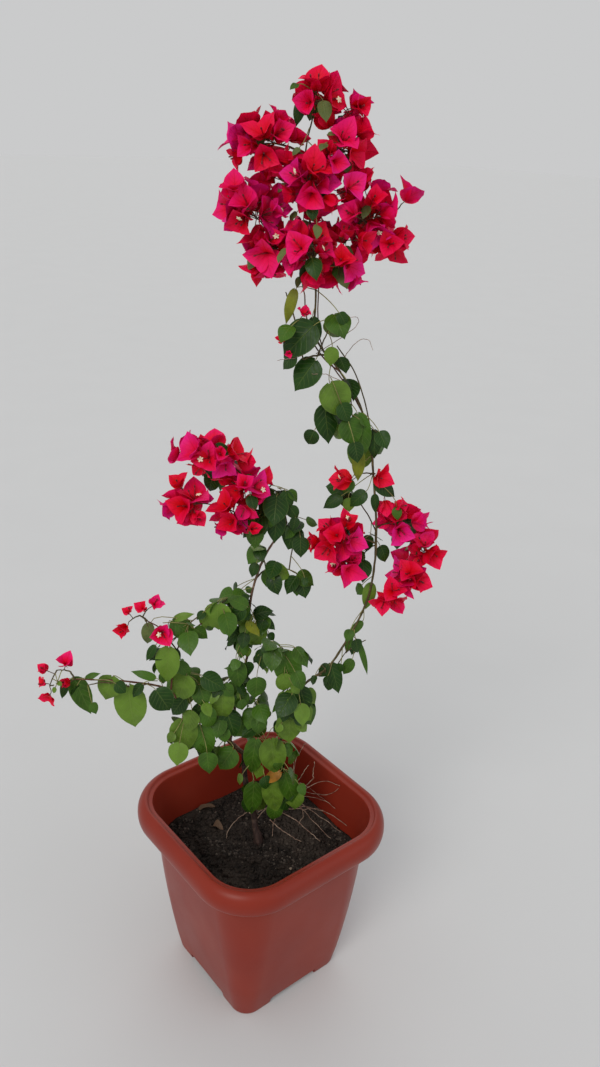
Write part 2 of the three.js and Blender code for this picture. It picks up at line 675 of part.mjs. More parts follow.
// Three points round a stalk, a third of a turn apart, the first of them towards the face.
function stalkRing(centre, along, face, thick) {
  const side = face.clone().cross(along).normalize();
  const top = along.clone().cross(side);
  return [0, 1, 2].map((third) => {
    const turn = (third * 2 * Math.PI) / 3;
    return centre
      .clone()
      .addScaledVector(top, (thick / 2) * Math.cos(turn))
      .addScaledVector(side, (-thick / 2) * Math.sin(turn));
  });
}

// A three-sided twig through the points of a line.
function twigSolid(line, thick) {
  const along = line[line.length - 1].clone().sub(line[0]).normalize();
  const face = Math.abs(along.z) > 0.9 ? new THREE.Vector3(1, 0, 0) : UP;
  return loft(line.map((p, i) => stalkRing(p, along, face, mix(thick, i / (line.length - 1)))));
}

// One skin for a stalk and the leaf or the three bracts at its end.
function organSolid(organ) {
  const { kind, axis, face, base, foot, size } = organ;
  if (kind === "bare") return twigSolid([foot, base], STALK_THICK);
  const along = base.clone().sub(foot).normalize();
  const { tips, sides } = outlineOf(organ);
  const top = kind === "bloom" ? tips[0].clone().sub(base) : face;
  const start = stalkRing(foot, along, top, STALK_THICK[0]);
  const end = stalkRing(base, axis, top, STALK_THICK[1]);
  const stalk = [0, 2, 1, 0, 1, 4, 0, 4, 3, 1, 2, 5, 1, 5, 4, 2, 0, 3, 2, 3, 5];
  if (kind === "bloom") {
    const heart = base.clone().addScaledVector(axis, HEART * size);
    const skin = [0, 1, 2].flatMap((i) => {
      const [a, b, tip, nextTip, side] = [3 + i, 3 + ((i + 1) % 3), 6 + i, 6 + ((i + 1) % 3), 9 + i];
      return [a, b, side, a, side, tip, b, nextTip, side, 12, tip, side, 12, side, nextTip];
    });
    return skinOf([...start, ...end, ...tips, ...sides, heart], [...stalk, ...skin]);
  }
  const middle = base.clone().addScaledVector(axis, WIDEST * size);
  const over = middle.clone().addScaledVector(face, BLADE_THICK / 2);
  const under = middle.clone().addScaledVector(face, -BLADE_THICK / 2);
  const [right, left] = sides;
  const nearHalf = [5, 3, 6, 3, 7, 6, 3, 8, 7, 3, 4, 8, 4, 9, 8, 4, 5, 9, 5, 6, 9];
  const farHalf = [6, 7, 10, 7, 8, 10, 8, 9, 10, 9, 6, 10];
  return skinOf([...start, ...end, right, over, left, under, tips[0]], [...stalk, ...nearHalf, ...farHalf]);
}

// The body of a solid that has the most faces, with any sealed hollow filled and loose scraps dropped.
function mainBody(solid) {
  return solid.decompose().reduce((best, body) => (body.numTri() > best.numTri() ? body : best));
}

function massSolid(mass) {
  const lines = massLines.get(mass).filter((line) => line);
  const twigs = lines.map((line, i) => twigSolid(line, i ? BRANCH_THICK : STEM_THICK));
  return wasm.Manifold.union([...twigs, ...organsOf(mass, random(mass.seed)).map(organSolid)]);
}

function meshOf(name, solid, color, roughness) {
  const { vertProperties, triVerts } = solid.getMesh();
  const geometry = new THREE.BufferGeometry();
  geometry.setAttribute("position", new THREE.BufferAttribute(vertProperties, 3));
  geometry.setIndex(new THREE.BufferAttribute(triVerts, 1));
  geometry.computeVertexNormals();
  const mesh = new THREE.Mesh(geometry, new THREE.MeshStandardMaterial({ color, roughness, metalness: 0 }));
  mesh.name = name;
  return mesh;
}

const object = new THREE.Group();
object.add(meshOf("pot", potSolid(), 0xa5452f, 0.45));
object.add(meshOf("soil", soilSolid(), 0x2b2320, 0.95));

const plant = new THREE.Group();
plant.rotation.z = THREE.MathUtils.degToRad(PLANT_TURN);
object.add(plant);

const grownLimbs = wasm.Manifold.union(limbNames.map((name) => limbSolid(LIMBS[name], CLEAR)));
for (const name of limbNames) {
  const parent = LIMBS[name].from;
  const whole = limbSolid(LIMBS[name]);
  const solid = parent ? mainBody(whole.subtract(limbSolid(LIMBS[parent], CLEAR))) : whole;
  plant.add(meshOf(name, solid, BARK, 0.85));
}
Object.entries(MASSES).forEach(([name, mass]) => {
  const solid = mainBody(massSolid(mass).subtract(grownLimbs));
  plant.add(meshOf(name, solid, name.endsWith("blooms") ? CRIMSON : GREEN, 0.7));
});

export default object;
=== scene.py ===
"""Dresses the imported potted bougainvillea: its limbs, twigs, leaves and blooms, its planter and soil.

The plant is worked out in millimetres in its own frame, as in the part's source: the first number of a
point runs along the bush's broad side, the second runs back from it, and the third is the height above
the floor. The frame is turned about Z into the part's frame when a piece is made, in metres.
"""

import math
from typing import NamedTuple

import bpy
import numpy as np
from mathutils import Matrix, Vector, noise


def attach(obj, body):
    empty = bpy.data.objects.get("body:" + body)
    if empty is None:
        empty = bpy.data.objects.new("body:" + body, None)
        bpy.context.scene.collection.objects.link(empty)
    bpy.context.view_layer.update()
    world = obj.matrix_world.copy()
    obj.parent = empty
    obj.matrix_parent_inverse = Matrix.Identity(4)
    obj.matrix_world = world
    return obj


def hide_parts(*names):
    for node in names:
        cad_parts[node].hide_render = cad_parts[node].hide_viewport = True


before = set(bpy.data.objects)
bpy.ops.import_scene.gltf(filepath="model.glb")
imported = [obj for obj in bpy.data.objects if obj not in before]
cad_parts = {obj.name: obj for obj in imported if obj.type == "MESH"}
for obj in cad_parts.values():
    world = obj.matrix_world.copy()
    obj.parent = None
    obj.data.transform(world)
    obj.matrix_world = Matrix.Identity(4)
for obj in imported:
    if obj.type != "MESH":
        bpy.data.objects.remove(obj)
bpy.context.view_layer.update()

MM = 0.001
UP = np.array([0.0, 0.0, 1.0])
GOLDEN_ANGLE = math.pi * (3 - math.sqrt(5))
WORD = 0xFFFFFFFF
NOISE_SEED = 1

noise.seed_set(NOISE_SEED)  # its vectors differ from run to run without one

# The planter
RIM_WIDTH = 430
RIM_HEIGHT = 47
RIM_OVERHANG = 35
RIM_CORNER = 118
POT_HEIGHT = 410
BODY_TOP = POT_HEIGHT - RIM_HEIGHT
BODY_CORNER = 92
FOOT_WIDTH = 262
FOOT_CORNER = 37
BULGE = 5
WALL = 4
FEET_HEIGHT = 16
FEET_APART = 122
PAD_WIDTH = 60
ARCH_ROUND = 5
CORNER_STEPS = 16
SIDE_STEPS = 5
POT_SHARP = 38  # the angle in degrees from which an edge stays sharp
SOIL_TOP = 300
BODY_LEVELS = (40, 75, 110, 160, 210, 255, SOIL_TOP, 335, BODY_TOP)
FOOT_ROUND = ((3, 0), (1.6, 0.8), (0.6, 2.2), (0, 4.5))  # in from the body's side, and up
# The rim's underside, its outer face and its lip: in from its outer face, and up from its lower edge
RIM_UNDER = ((33, 12), (30, 20), (26, 24), (14, 24), (9, 20), (6.5, 12), (6.6, 2))
RIM_ROUND = (
    (5.9, 0.4), (4.9, 0), (3.7, 0.5), (2.7, 1.9), (1.6, 5), (0.6, 10), (0.1, 15), (0.1, 21), (0.8, 27),
    (2.3, 32.5), (4.7, 37.7), (7.9, 41.8), (11.4, 44.8), (15, 46.5), (18, 46.9), (20.2, 46.2),
)
LIP = (
    (21.4, 44.9), (22.2, 43.4), (23.4, 42.5), (26, 42.1), (29, 41.8), (30.6, 41.1), (31.5, 39.4), (32, 35),
)

# The soil
SOIL_LOW = 1.5  # how far the bed lies under the source's flat top, before its swells
SOIL_RINGS = 46
SOIL_GAPS = (0.2, 0.3)  # from the planter's wall, for the top and for the sides
SOIL_DEPTHS = (SOIL_TOP - 12, 210, 110, FEET_HEIGHT + WALL + 0.5)
SWELLS = ((0.6, 7), (1.9, 5), (5.2, 2.8), (13, 1.5))  # how close together, and how high
CRUMBS = ((3600, (2, 11), 0.8, 71), (110, (8, 18), 0.6, 74))  # count, sizes, flatness and seed
DRY_CRUMBS = (2600, (1.8, 8), 0.8, 75, 0.02)  # likewise, and how strong the noise must be where one lies
PALE_BITS = (64, (1.4, 3.8), 0.8, 72)
PALE_STONE = (65, -66, 7, 73)  # place in the plant's frame, size and seed
CLODS = (46, (13, 30), 77)  # count, sizes and seed
CLOD_CRUMBS = 16
CLOD_AREA = 0.86  # of the soil's half width
TRUNK_ROOM = 16  # between the trunk's middle and a clod
CLOD_REACH = (0.15, 0.45)  # of its size, out to its crumbs
CLOD_CRUMB = (0.22, 0.46)  # of its size, across a crumb
CLOD_FLAT = 0.6
LUMP_ROUGH = (0.75, 1.25)
LUMP_FLAT = 0.8
LUMP_BEDDED = 0.12  # of a lump's size, from its middle down to the soil
SMALL_LUMPS = 1.8  # the higher, the more of the lumps are small
SMALL_CLODS = 1.5
DEAD_LEAVES = (((-133, 94), (-96, 110), 15), ((-101, 44), (-78, 32), 20))  # from, to and width
DEAD_LEAF_LIFT = (2, 6)
DEAD_LEAF_SEED = 76
DEAD_LEAF_SHAPE = {"fold": 0.5, "curl": -0.4, "ripple": 2.2}

# The source's rule for the plant
PLANT_TURN = -37.7
LIMB_MARGIN = 1.8
TWIG_MARGIN = 3.5
LIMB_STEPS = 24
DETOURS = (0, 14, -14, 26, -26)  # how far a twig swings aside, as tried in turn
BOW = 0.15
WAY_CHECKS = (0.1, 0.2, 0.3, 0.4, 0.5, 0.6, 0.7, 0.8, 0.9, 1)
CHECKS_BY_LIMB = 3  # so many of those are left out next to the limb that a stem leaves
FORK_SHARES = (0.4, 0.6, 0.8, 1)
NEAREST_FEET = 6
SHORT_OF_MIDDLE = 0.35
MOST_SHORT = 0.6
HOLDS = ((0, 0.4, 0.6), (0, 0, 0.7), (0.5, 0, 0.5), (-0.5, 0, 0.5), (0, -0.4, 0.6))
STALK_FEET = 5
LAST_FOOT = 0.99
FEET_STRETCH = 0.6
SHORTEST_STALK = 5
STALK_PULL = 0.5
STALK_COST = 0.01
STALK_SPOTS = (0.25, 0.5, 0.75)
STALK_START = 0.2  # from here on a stalk is tested for crossings
SPREAD = (0.6, 1)
LEAF_OUT = 0.7
BLOOM_LIFT = 0.25
FACE_OUT = 0.3
SET_BACK = 0.45
LEAST_IN_LINE = 0.05
NUDGE = 0.5
TRIES = 30
SPACE_SLACK = 1.75  # how far past its lobe a leaf or bloom may reach, in halves of the lobe
SPACE_APART = 0.03
LIGHT = np.array([0, -0.75, 0.66])  # the way to the light, in front and above: the leaves face it
BRACT_LENGTH = (38, 47)
BRACT_TILT = 0.84
NOTCH = 0.6
BLADE_WIDTH = 0.84
WIDEST = 0.4

# What the scene adds to the source's rule
LEAF_SIZE = 0.93  # of the source's leaves, which are larger than life
SMALLER_LEAVES = {"centre_top_leaves": 0.8, "centre_mid_leaves": 0.88, "right_leaves": 0.9}
BLOOM_SIZE = 0.96
FINER_LEAVES = 2.2  # how many more, smaller leaves a lobe has for each one of the source's
FINER_BLOOMS = 1.9
BLOOMS_A_LEAF = 6  # so many blooms of a lobe bring one more leaf
OPEN_SHARE = 0.35  # of those leaves, in the masses the photo shows leaf by leaf
OPEN = (
    "centre_top_leaves", "left_shoot_leaves", "right_leaves", "right_bloom_leaves",
    "climbing_low_leaves", "climbing_high_leaves",
)
FINER_SIZES = {"leaf": (0.42, 0.85), "bloom": (0.7, 1)}
FINER_REACH = (0.1, 1.15)
FINER_TOUCH = 0.76  # the share of a finer leaf or bract that keeps clear of the others
FINER_BACK = 0.35  # the share of those leaves and blooms that face out of the lobe all round
FINER_STALK_START = 0.1
FINER_SEED = 500
TWIG_CLEAR = 1.6  # between a twig and a finer leaf or bloom
TWIG_FEET = (0.15, 1, 12)  # from, to and count of the places on a twig that a stalk may leave
STALK_FORKS = (0.4, 0.7)  # the places on a stalk that a finer one may leave
LONGEST_STALK = 75
MOST_ORGANS = 4000
EYE = (0, -1456, 1678)  # where the leaves and blooms that show plainly are seen from
BEFORE = (0.005, 0.4)  # the stretch of the way to it that stays open before each, as shares
TRUNK_SHOWS = ((-12, 20, 348), 90)  # the trunk's bare foot, seen likewise, and its length
COVER = 0.2  # how near to that way a leaf may come, as a share of both lengths

# Limbs and twigs
FLARE = 9
FLARE_LENGTH = 1 / 7
TRUNK_SUNK = 6
LIMB_ROW = 4.2
FEWEST_ROWS = 24
LIMB_SIDES = 14
SWAY = 0.4  # of a limb's radius
MOST_SWAY = 1.6
SWAY_RATE = 0.16
SWAY_FADE = 5  # rows at each end
NODE_ROWS = 9
NODE_HEIGHT = 0.13
NODE_WIDTH = 1.6
BARK_SWELLS = 0.16
BARK_RIDGES = 0.07
TWIG_POINTS = 14
TWIG_WANDER = 1.2
STEM_TWIG = (1.9, 1.35)
SIDE_TWIG = (1.35, 0.9)
STRAND_STEPS = 22
KINK_RATE = 0.45
KINKS_FROM = 4  # rows up from the foot
STALK_PULLS = (0.35, 0.33)  # how far a stalk's two ends hold their way, of its length
STALK_RISE = 0.06
PLANT_SEED = 1000

# Leaves and blooms. An outline says how far along the blade, and what share of its half width it has there
LEAF_OUTLINE = (
    (0, 0.1), (0.03, 0.46), (0.08, 0.75), (0.17, 0.94), (0.3, 1), (0.43, 0.98), (0.56, 0.88),
    (0.68, 0.7), (0.79, 0.46), (0.87, 0.25), (0.94, 0.1), (1, 0),
)
BRACT_OUTLINE = (
    (0, 0.12), (0.04, 0.48), (0.1, 0.76), (0.2, 0.95), (0.32, 1), (0.45, 0.97), (0.58, 0.85),
    (0.71, 0.64), (0.82, 0.41), (0.91, 0.2), (0.97, 0.07), (1, 0),
)
ACROSS = (-1, -0.68, -0.34, 0, 0.34, 0.68, 1)
SIDES_APART = 0.31  # of a ripple, between the halves of a blade
HEART_END = 7  # a blade's base is heart-shaped over the first part in so many of its length
LEAF_FIXED = {"rise": 0.25, "heart": 0.06}
LEAF_RANGES = {
    "fold": (0.03, 0.26), "droop": (0.3, 1), "curl": (0.05, 0.28), "waves": (1, 2), "phase": (0, 1),
    "ripple": (0.3, 1),
}
BRACT_FIXED = {"rise": 0.38, "heart": 0.04}
BRACT_RANGES = {
    "fold": (0.02, 0.24), "droop": (0.2, 1.1), "curl": (-0.45, 0.1), "waves": (1.2, 2.4), "phase": (0, 1),
    "ripple": (0.9, 2.8),
}
LEAF_BROAD = {"low": (0.76, 0.92), "shade": (0.74, 0.9), "climbing": (0.82, 0.98), "young": (0.6, 0.75)}
LEAF_TWIST = (-0.3, 0.3)
SEEN_TWIST = 0.4  # of that, for the leaves the photo shows plainly
LEAF_STALK = (0.85, 0.7)
BLOOM_STALK = (0.8, 0.75)
STALK_SIDES = 5
STALK_POINTS = 6
BRACTS = 3
BRACT_BROAD = (0.84, 1)
BRACT_SHORTER = (0.9, 1.04)
BRACT_SWING = (-0.2, 0.2)
BRACT_TWIST = (-0.25, 0.25)
BRACT_NODS = (-0.12, 0.12)
MORE_SHUT = 0.18
OPENNESS = (-0.25, 0.25)
STARRED = 0.14  # the share of blooms with an open flower
STAR_WIDTH = 12
STAR_FORWARD = 1.2  # how far an open flower turns to its bract's inner side
STAR_RINGS = ((0.16, 0.05), (0.3, 0.02), (0.66, -0.04), (1, -0.1))
STAR_SPOKES = 20
STAR_LOBES = (0.78, 0.22, 0.08)  # its lobes' middle reach, their swing and the depth of their notch
TUBED = 0.45  # the share of bracts whose flower shows
TUBE_LENGTH = 0.46
TUBE_LIFT = (0.03, 0.16)  # over the bract, at its foot and more at its end
TUBE_FOOT = 1.5
TUBE_RADII = (0.9, 1.35, 1.1, 0.9, 1.15)
TIP_REACH = (0, 1.6, 3.4, 4.6)
TIP_RADII = (1.2, 1.5, 1.3, 0.5)

# The leaves' pieces by tone and how often each kind of mass takes them, and likewise the bracts'
LEAF_TONES = (
    "leaves_mid", "leaves_dark", "leaves_bright", "leaves_young", "leaves_yellow", "leaves_turning",
)
# leaves_dark and leaves_bright are partly the leaves' own deeper and yellower greens and partly painted
# shade and painted light: the masses in shade take more of the dark ones.
TONE_SHARES = {
    "low": (0.48, 0.22, 0.29, 0, 0.01),
    "shade": (0.33, 0.57, 0.1, 0, 0),
    "climbing": (0.45, 0.4, 0.15, 0, 0),
    "young": (0.15, 0.3, 0, 0.55, 0),
}
BRACT_TONES = ("bracts_crimson", "bracts_rose", "bracts_magenta")
BRACT_SHARES = (0.45, 0.33, 0.22)

# Each limb: the limb it leaves, its thickness at both ends and its line
LIMBS = {
    "trunk": (None, (14, 10), ((-2, 6, 300), (-19, 33, 372), (-35, 46, 438), (-38, 44, 505))),
    "left_bough": ("trunk", (9.5, 6.5), ((-38, 44, 500), (-64, 34, 533), (-110, 14, 592), (-152, -5, 630))),
    "centre_stem": (
        "left_bough", (6, 3.6),
        ((-66, 33, 535), (-55, 41, 640), (-35, 47, 740), (-32, 50, 850), (-10, 48, 942), (31, 38, 1022)),
    ),
    "front_stem": ("trunk", (6.5, 4.6), ((-31, 45, 486), (12, 30, 528), (50, 20, 575), (57, 13, 640))),
    "right_stem": (
        "front_stem", (4.6, 3.8),
        ((57, 13, 640), (79, 18, 691), (130, 26, 738), (187, 40, 861), (197, 44, 990), (177, 46, 1156)),
    ),
    "climbing_stem": (
        "right_stem", (3.8, 3.2),
        ((177, 46, 1156), (149, 45, 1246), (110, 35, 1306), (68, 25, 1362), (63, 35, 1438)),
    ),
    "twin_stem": (
        "right_stem", (2.6, 2),
        ((185, 45.5, 1098), (172, 62, 1200), (142, 60, 1290), (104, 50, 1345)),
    ),
    "top_stem": (
        "climbing_stem", (3.2, 2),
        ((63, 35, 1438), (53, 46, 1521), (37, 52, 1625), (50, 54, 1710)),
    ),
    "left_shoot": (
        "left_bough", (4.6, 2.4),
        ((-152, -5, 630), (-182, -32, 704), (-252, -80, 752), (-335, -110, 774)),
    ),
    "left_arch": (
        "left_shoot", (3.4, 2),
        ((-177, -27, 692), (-172, -20, 740), (-160, -18, 792), (-119, -5, 834), (-69, 15, 850)),
    ),
    "left_spray": ("left_arch", (2.6, 2), ((-163, -19, 780), (-190, -36, 836), (-214, -44, 858))),
}


class Mass(NamedTuple):
    """A mass of leaves or blooms, as in the source."""

    limb: str  # the one its stem leaves
    seed: int
    leaf: tuple  # its leaves' least and greatest length
    hang: float  # how far they hang
    small: float  # its size beside the others'
    tones: str
    lobes: tuple  # of each its middle, half width, half depth and half height, its blooms and its leaves


MASSES = {
    "base_leaves": Mass("trunk", 16, (54, 73), 1.2, 1, "low", (
        (-12, 4, 486, 40, 36, 38, 0, 4), (30, 0, 500, 38, 34, 38, 0, 4), (-12, 14, 398, 28, 28, 40, 0, 3),
        (30, 16, 410, 30, 30, 42, 0, 3), (64, 18, 428, 28, 28, 36, 0, 2),
    )),
    "left_low_leaves": Mass("left_bough", 28, (54, 71), 0.9, 1, "low", (
        (-114, -6, 556, 34, 36, 36, 0, 3), (-156, -18, 584, 35, 34, 38, 0, 3),
        (-122, -20, 640, 27, 30, 27, 0, 2), (-86, 5, 669, 30, 32, 34, 0, 3),
        (-150, 20, 688, 34, 34, 34, 0, 3),
    )),
    "left_shoot_leaves": Mass("left_shoot", 30, (50, 66), 1.1, 1, "low", (
        (-240, -78, 700, 30, 28, 44, 0, 1), (-212, -74, 724, 28, 28, 26, 0, 2),
        (-274, -104, 740, 26, 26, 28, 0, 2), (-314, -114, 740, 24, 24, 30, 0, 2),
    )),
    "left_arch_leaves": Mass("left_arch", 10, (40, 59), 0.7, 1, "low", (
        (-142, -34, 826, 28, 28, 26, 0, 3), (-192, -34, 766, 30, 30, 30, 0, 3),
        (-94, -14, 846, 33, 32, 30, 0, 4), (-54, 15, 865, 28, 28, 26, 0, 3),
    )),
    "centre_low_leaves": Mass("centre_stem", 3, (42, 61), 0.8, 1, "low", (
        (-56, 14, 676, 36, 38, 46, 0, 7), (-78, 8, 598, 36, 36, 38, 0, 6),
        (-12, 26, 614, 34, 36, 38, 0, 5), (-76, 10, 516, 30, 30, 32, 0, 3),
    )),
    "centre_mid_leaves": Mass("centre_stem", 29, (38, 52), 0.7, 1, "shade", (
        (-46, 46, 766, 34, 36, 36, 0, 6), (-51, 46, 838, 32, 34, 38, 0, 6),
        (-8, 46, 800, 22, 30, 36, 0, 4), (0, 32, 747, 24, 28, 28, 0, 3),
    )),
    "centre_top_leaves": Mass("centre_stem", 1, (50, 71), 0.9, 1, "shade", (
        (8, 50, 905, 34, 34, 30, 0, 4), (-14, 46, 948, 26, 28, 28, 0, 3), (60, 42, 892, 28, 28, 28, 0, 3),
        (52, 45, 1000, 30, 32, 36, 0, 4),
    )),
    "front_leaves": Mass("front_stem", 21, (47, 66), 0.9, 1, "low", (
        (53, 6, 590, 36, 34, 36, 0, 4), (54, 2, 662, 35, 34, 36, 0, 5), (78, 18, 628, 22, 28, 36, 0, 3),
        (46, 6, 732, 34, 32, 36, 0, 5), (16, 6, 768, 26, 26, 24, 0, 3),
    )),
    "right_leaves": Mass("right_stem", 30, (45, 61), 1.2, 1, "shade", (
        (132, 20, 690, 26, 26, 26, 0, 3), (155, 25, 735, 23, 25, 30, 0, 2),
        (107, 2, 722, 24, 24, 26, 0, 1), (166, 8, 794, 24, 26, 36, 0, 2),
        (194, 38, 755, 15, 18, 36, 0, 1),
    )),
    "right_bloom_leaves": Mass("right_stem", 7, (50, 68), 0.9, 1, "shade", (
        (198, 66, 980, 28, 28, 28, 0, 3), (177, 62, 925, 24, 28, 36, 0, 3),
        (140, 52, 1066, 42, 38, 28, 0, 5), (179, 50, 882, 20, 22, 24, 0, 1),
    )),
    "climbing_low_leaves": Mass("climbing_stem", 17, (54, 70), 1, 1, "climbing", (
        (112, 18, 1252, 34, 32, 32, 0, 3), (137, 18, 1196, 34, 32, 34, 0, 3),
        (90, 22, 1210, 28, 28, 32, 0, 2), (182, 26, 1182, 26, 26, 30, 0, 2),
        (160, 64, 1140, 24, 24, 30, 0, 1),
    )),
    "climbing_high_leaves": Mass("climbing_stem", 3, (50, 68), 1, 1, "climbing", (
        (47, 6, 1312, 28, 28, 25, 0, 2), (34, 8, 1366, 29, 28, 26, 0, 2),
        (94, 14, 1380, 26, 28, 26, 0, 2), (104, 4, 1322, 26, 26, 26, 0, 1),
        (14, 25, 1414, 22, 22, 30, 0, 1), (44, 10, 1410, 30, 30, 28, 1, 0),
        (0, 10, 1346, 28, 28, 28, 1, 0),
    )),
    "left_tip_blooms": Mass("left_shoot", 6, (28, 35), 0.4, 0.72, "low", (
        (-348, -115, 812, 22, 22, 22, 1, 0), (-384, -120, 800, 22, 22, 22, 1, 0),
        (-386, -120, 744, 22, 22, 22, 1, 0), (-362, -118, 768, 22, 22, 22, 1, 1),
    )),
    "left_spray_blooms": Mass("left_spray", 13, (28, 35), 0.4, 0.78, "low", (
        (-244, -50, 886, 24, 24, 24, 1, 0), (-266, -52, 846, 24, 24, 24, 1, 0),
        (-200, -46, 904, 24, 24, 24, 1, 0), (-200, -56, 824, 28, 28, 28, 1, 0),
    )),
    "left_blooms": Mass("centre_stem", 16, (50, 66), 0.8, 1, "shade", (
        (14, 34, 1060, 32, 32, 30, 0, 4), (-45, 10, 1105, 46, 46, 46, 7, 1),
        (-21, 26, 1026, 24, 26, 26, 0, 2), (-62, 6, 1046, 38, 40, 34, 4, 0),
        (-100, -4, 1168, 64, 50, 34, 8, 0), (-138, -8, 1078, 42, 42, 40, 5, 0),
        (12, 30, 1108, 24, 24, 24, 1, 0),
    )),
    "right_inner_blooms": Mass("right_stem", 18, (47, 61), 0.8, 1, "shade", (
        (122, 25, 1008, 48, 44, 44, 8, 0), (143, 36, 940, 32, 34, 36, 4, 0),
    )),
    "right_outer_blooms": Mass("right_stem", 8, (47, 61), 0.8, 1, "shade", (
        (240, 50, 1030, 50, 44, 36, 7, 1), (290, 54, 970, 34, 38, 38, 4, 0),
        (264, 50, 918, 38, 36, 36, 5, 0), (230, 46, 874, 28, 28, 26, 2, 0),
    )),
    "right_upper_blooms": Mass("right_stem", 1, (42, 54), 0.8, 1, "shade", (
        (190, 28, 1126, 26, 26, 26, 1, 0), (122, 22, 1122, 26, 26, 26, 1, 0),
    )),
    "top_low_left_blooms": Mass("top_stem", 1, (35, 47), 0.8, 1, "young", (
        (-16, 50, 1497, 44, 48, 40, 5, 1), (-48, 46, 1560, 50, 55, 46, 8, 0),
    )),
    "top_low_middle_blooms": Mass("top_stem", 11, (35, 50), 0.8, 1, "young", (
        (46, 20, 1500, 46, 48, 53, 6, 2), (66, 84, 1508, 40, 42, 46, 4, 1),
    )),
    "top_low_right_blooms": Mass("top_stem", 5, (35, 50), 0.8, 1, "young", (
        (102, 48, 1484, 46, 46, 44, 5, 1), (140, 56, 1562, 53, 55, 51, 8, 0),
        (180, 66, 1518, 33, 35, 35, 3, 0), (208, 78, 1594, 26, 26, 26, 1, 0),
    )),
    "top_middle_blooms": Mass("top_stem", 21, (35, 47), 0.8, 1, "young", (
        (46, 22, 1606, 48, 46, 51, 7, 1), (44, 88, 1600, 46, 42, 48, 5, 0),
    )),
    "top_left_blooms": Mass("top_stem", 18, (33, 45), 0.7, 1, "young", (
        (-30, 44, 1658, 55, 51, 44, 9, 1),
    )),
    "top_right_blooms": Mass("top_stem", 13, (33, 45), 0.7, 1, "young", (
        (100, 60, 1652, 46, 48, 51, 8, 1),
    )),
    "crown_blooms": Mass("top_stem", 2, (31, 42), 0.5, 1, "young", (
        (52, 58, 1720, 42, 40, 35, 6, 2), (105, 66, 1710, 29, 29, 26, 2, 0),
    )),
}

# Further lobes for the finer blooms and leaves alone, where the photo shows a mass full
FILLS = {
    "top_middle_blooms": (
        (74, 26, 1647, 39, 30, 30, 6, 1), (100, 28, 1591, 37, 30, 27, 5, 0),
        (33, 22, 1542, 41, 30, 27, 4, 2), (81, 98, 1586, 58, 26, 46, 7, 1),
    ),
    "top_left_blooms": (
        (2, 34, 1633, 24, 30, 23, 3, 0), (8, 28, 1588, 40, 30, 30, 6, 0),
        (-1, 90, 1606, 51, 26, 45, 5, 1),
    ),
    "top_right_blooms": (
        (104, 24, 1526, 35, 30, 34, 5, 1), (156, 44, 1560, 28, 30, 38, 4, 0),
        (147, 96, 1566, 39, 26, 53, 4, 1),
    ),
    "top_low_left_blooms": (
        (-26, 36, 1511, 29, 30, 31, 4, 0), (20, 36, 1480, 38, 30, 21, 4, 0),
        (11, 88, 1507, 49, 26, 39, 4, 1),
    ),
    "top_low_right_blooms": ((108, 40, 1483, 32, 30, 21, 3, 0),),
    "crown_blooms": ((60, 46, 1705, 27, 28, 20, 2, 1),),
    "left_blooms": (
        (-58, 0, 1150, 34, 28, 30, 3, 0), (-146, 0, 1062, 26, 28, 25, 3, 0),
        (-42, 14, 1046, 28, 28, 27, 3, 0), (-66, -16, 1056, 32, 20, 32, 4, 0),
        (-30, -18, 1036, 26, 18, 26, 3, 0), (-99, 50, 1098, 50, 24, 30, 0, 3),
        (-60, 46, 1120, 40, 24, 40, 2, 1),
    ),
    "right_inner_blooms": (
        (134, 22, 1051, 36, 28, 19, 4, 0), (120, 22, 959, 37, 28, 36, 3, 0),
        (132, 66, 979, 41, 22, 53, 4, 1),
    ),
    "right_outer_blooms": (
        (205, 38, 1058, 32, 28, 20, 4, 0), (286, 46, 985, 22, 26, 36, 3, 0),
        (234, 42, 890, 26, 26, 29, 3, 0), (276, 92, 961, 38, 24, 66, 5, 1),
    ),
    "centre_low_leaves": ((-38, 18, 719, 42, 26, 38, 0, 5), (-38, 22, 801, 30, 26, 33, 0, 5),),
    "left_low_leaves": ((-126, -12, 686, 38, 26, 25, 0, 3),),
    "left_arch_leaves": ((-97, -6, 859, 29, 20, 20, 0, 2),),
    "base_leaves": ((2, 16, 556, 40, 24, 30, 0, 4), (44, 18, 526, 28, 22, 31, 0, 3),),
    "front_leaves": ((43, 10, 646, 31, 22, 38, 0, 4),),
}
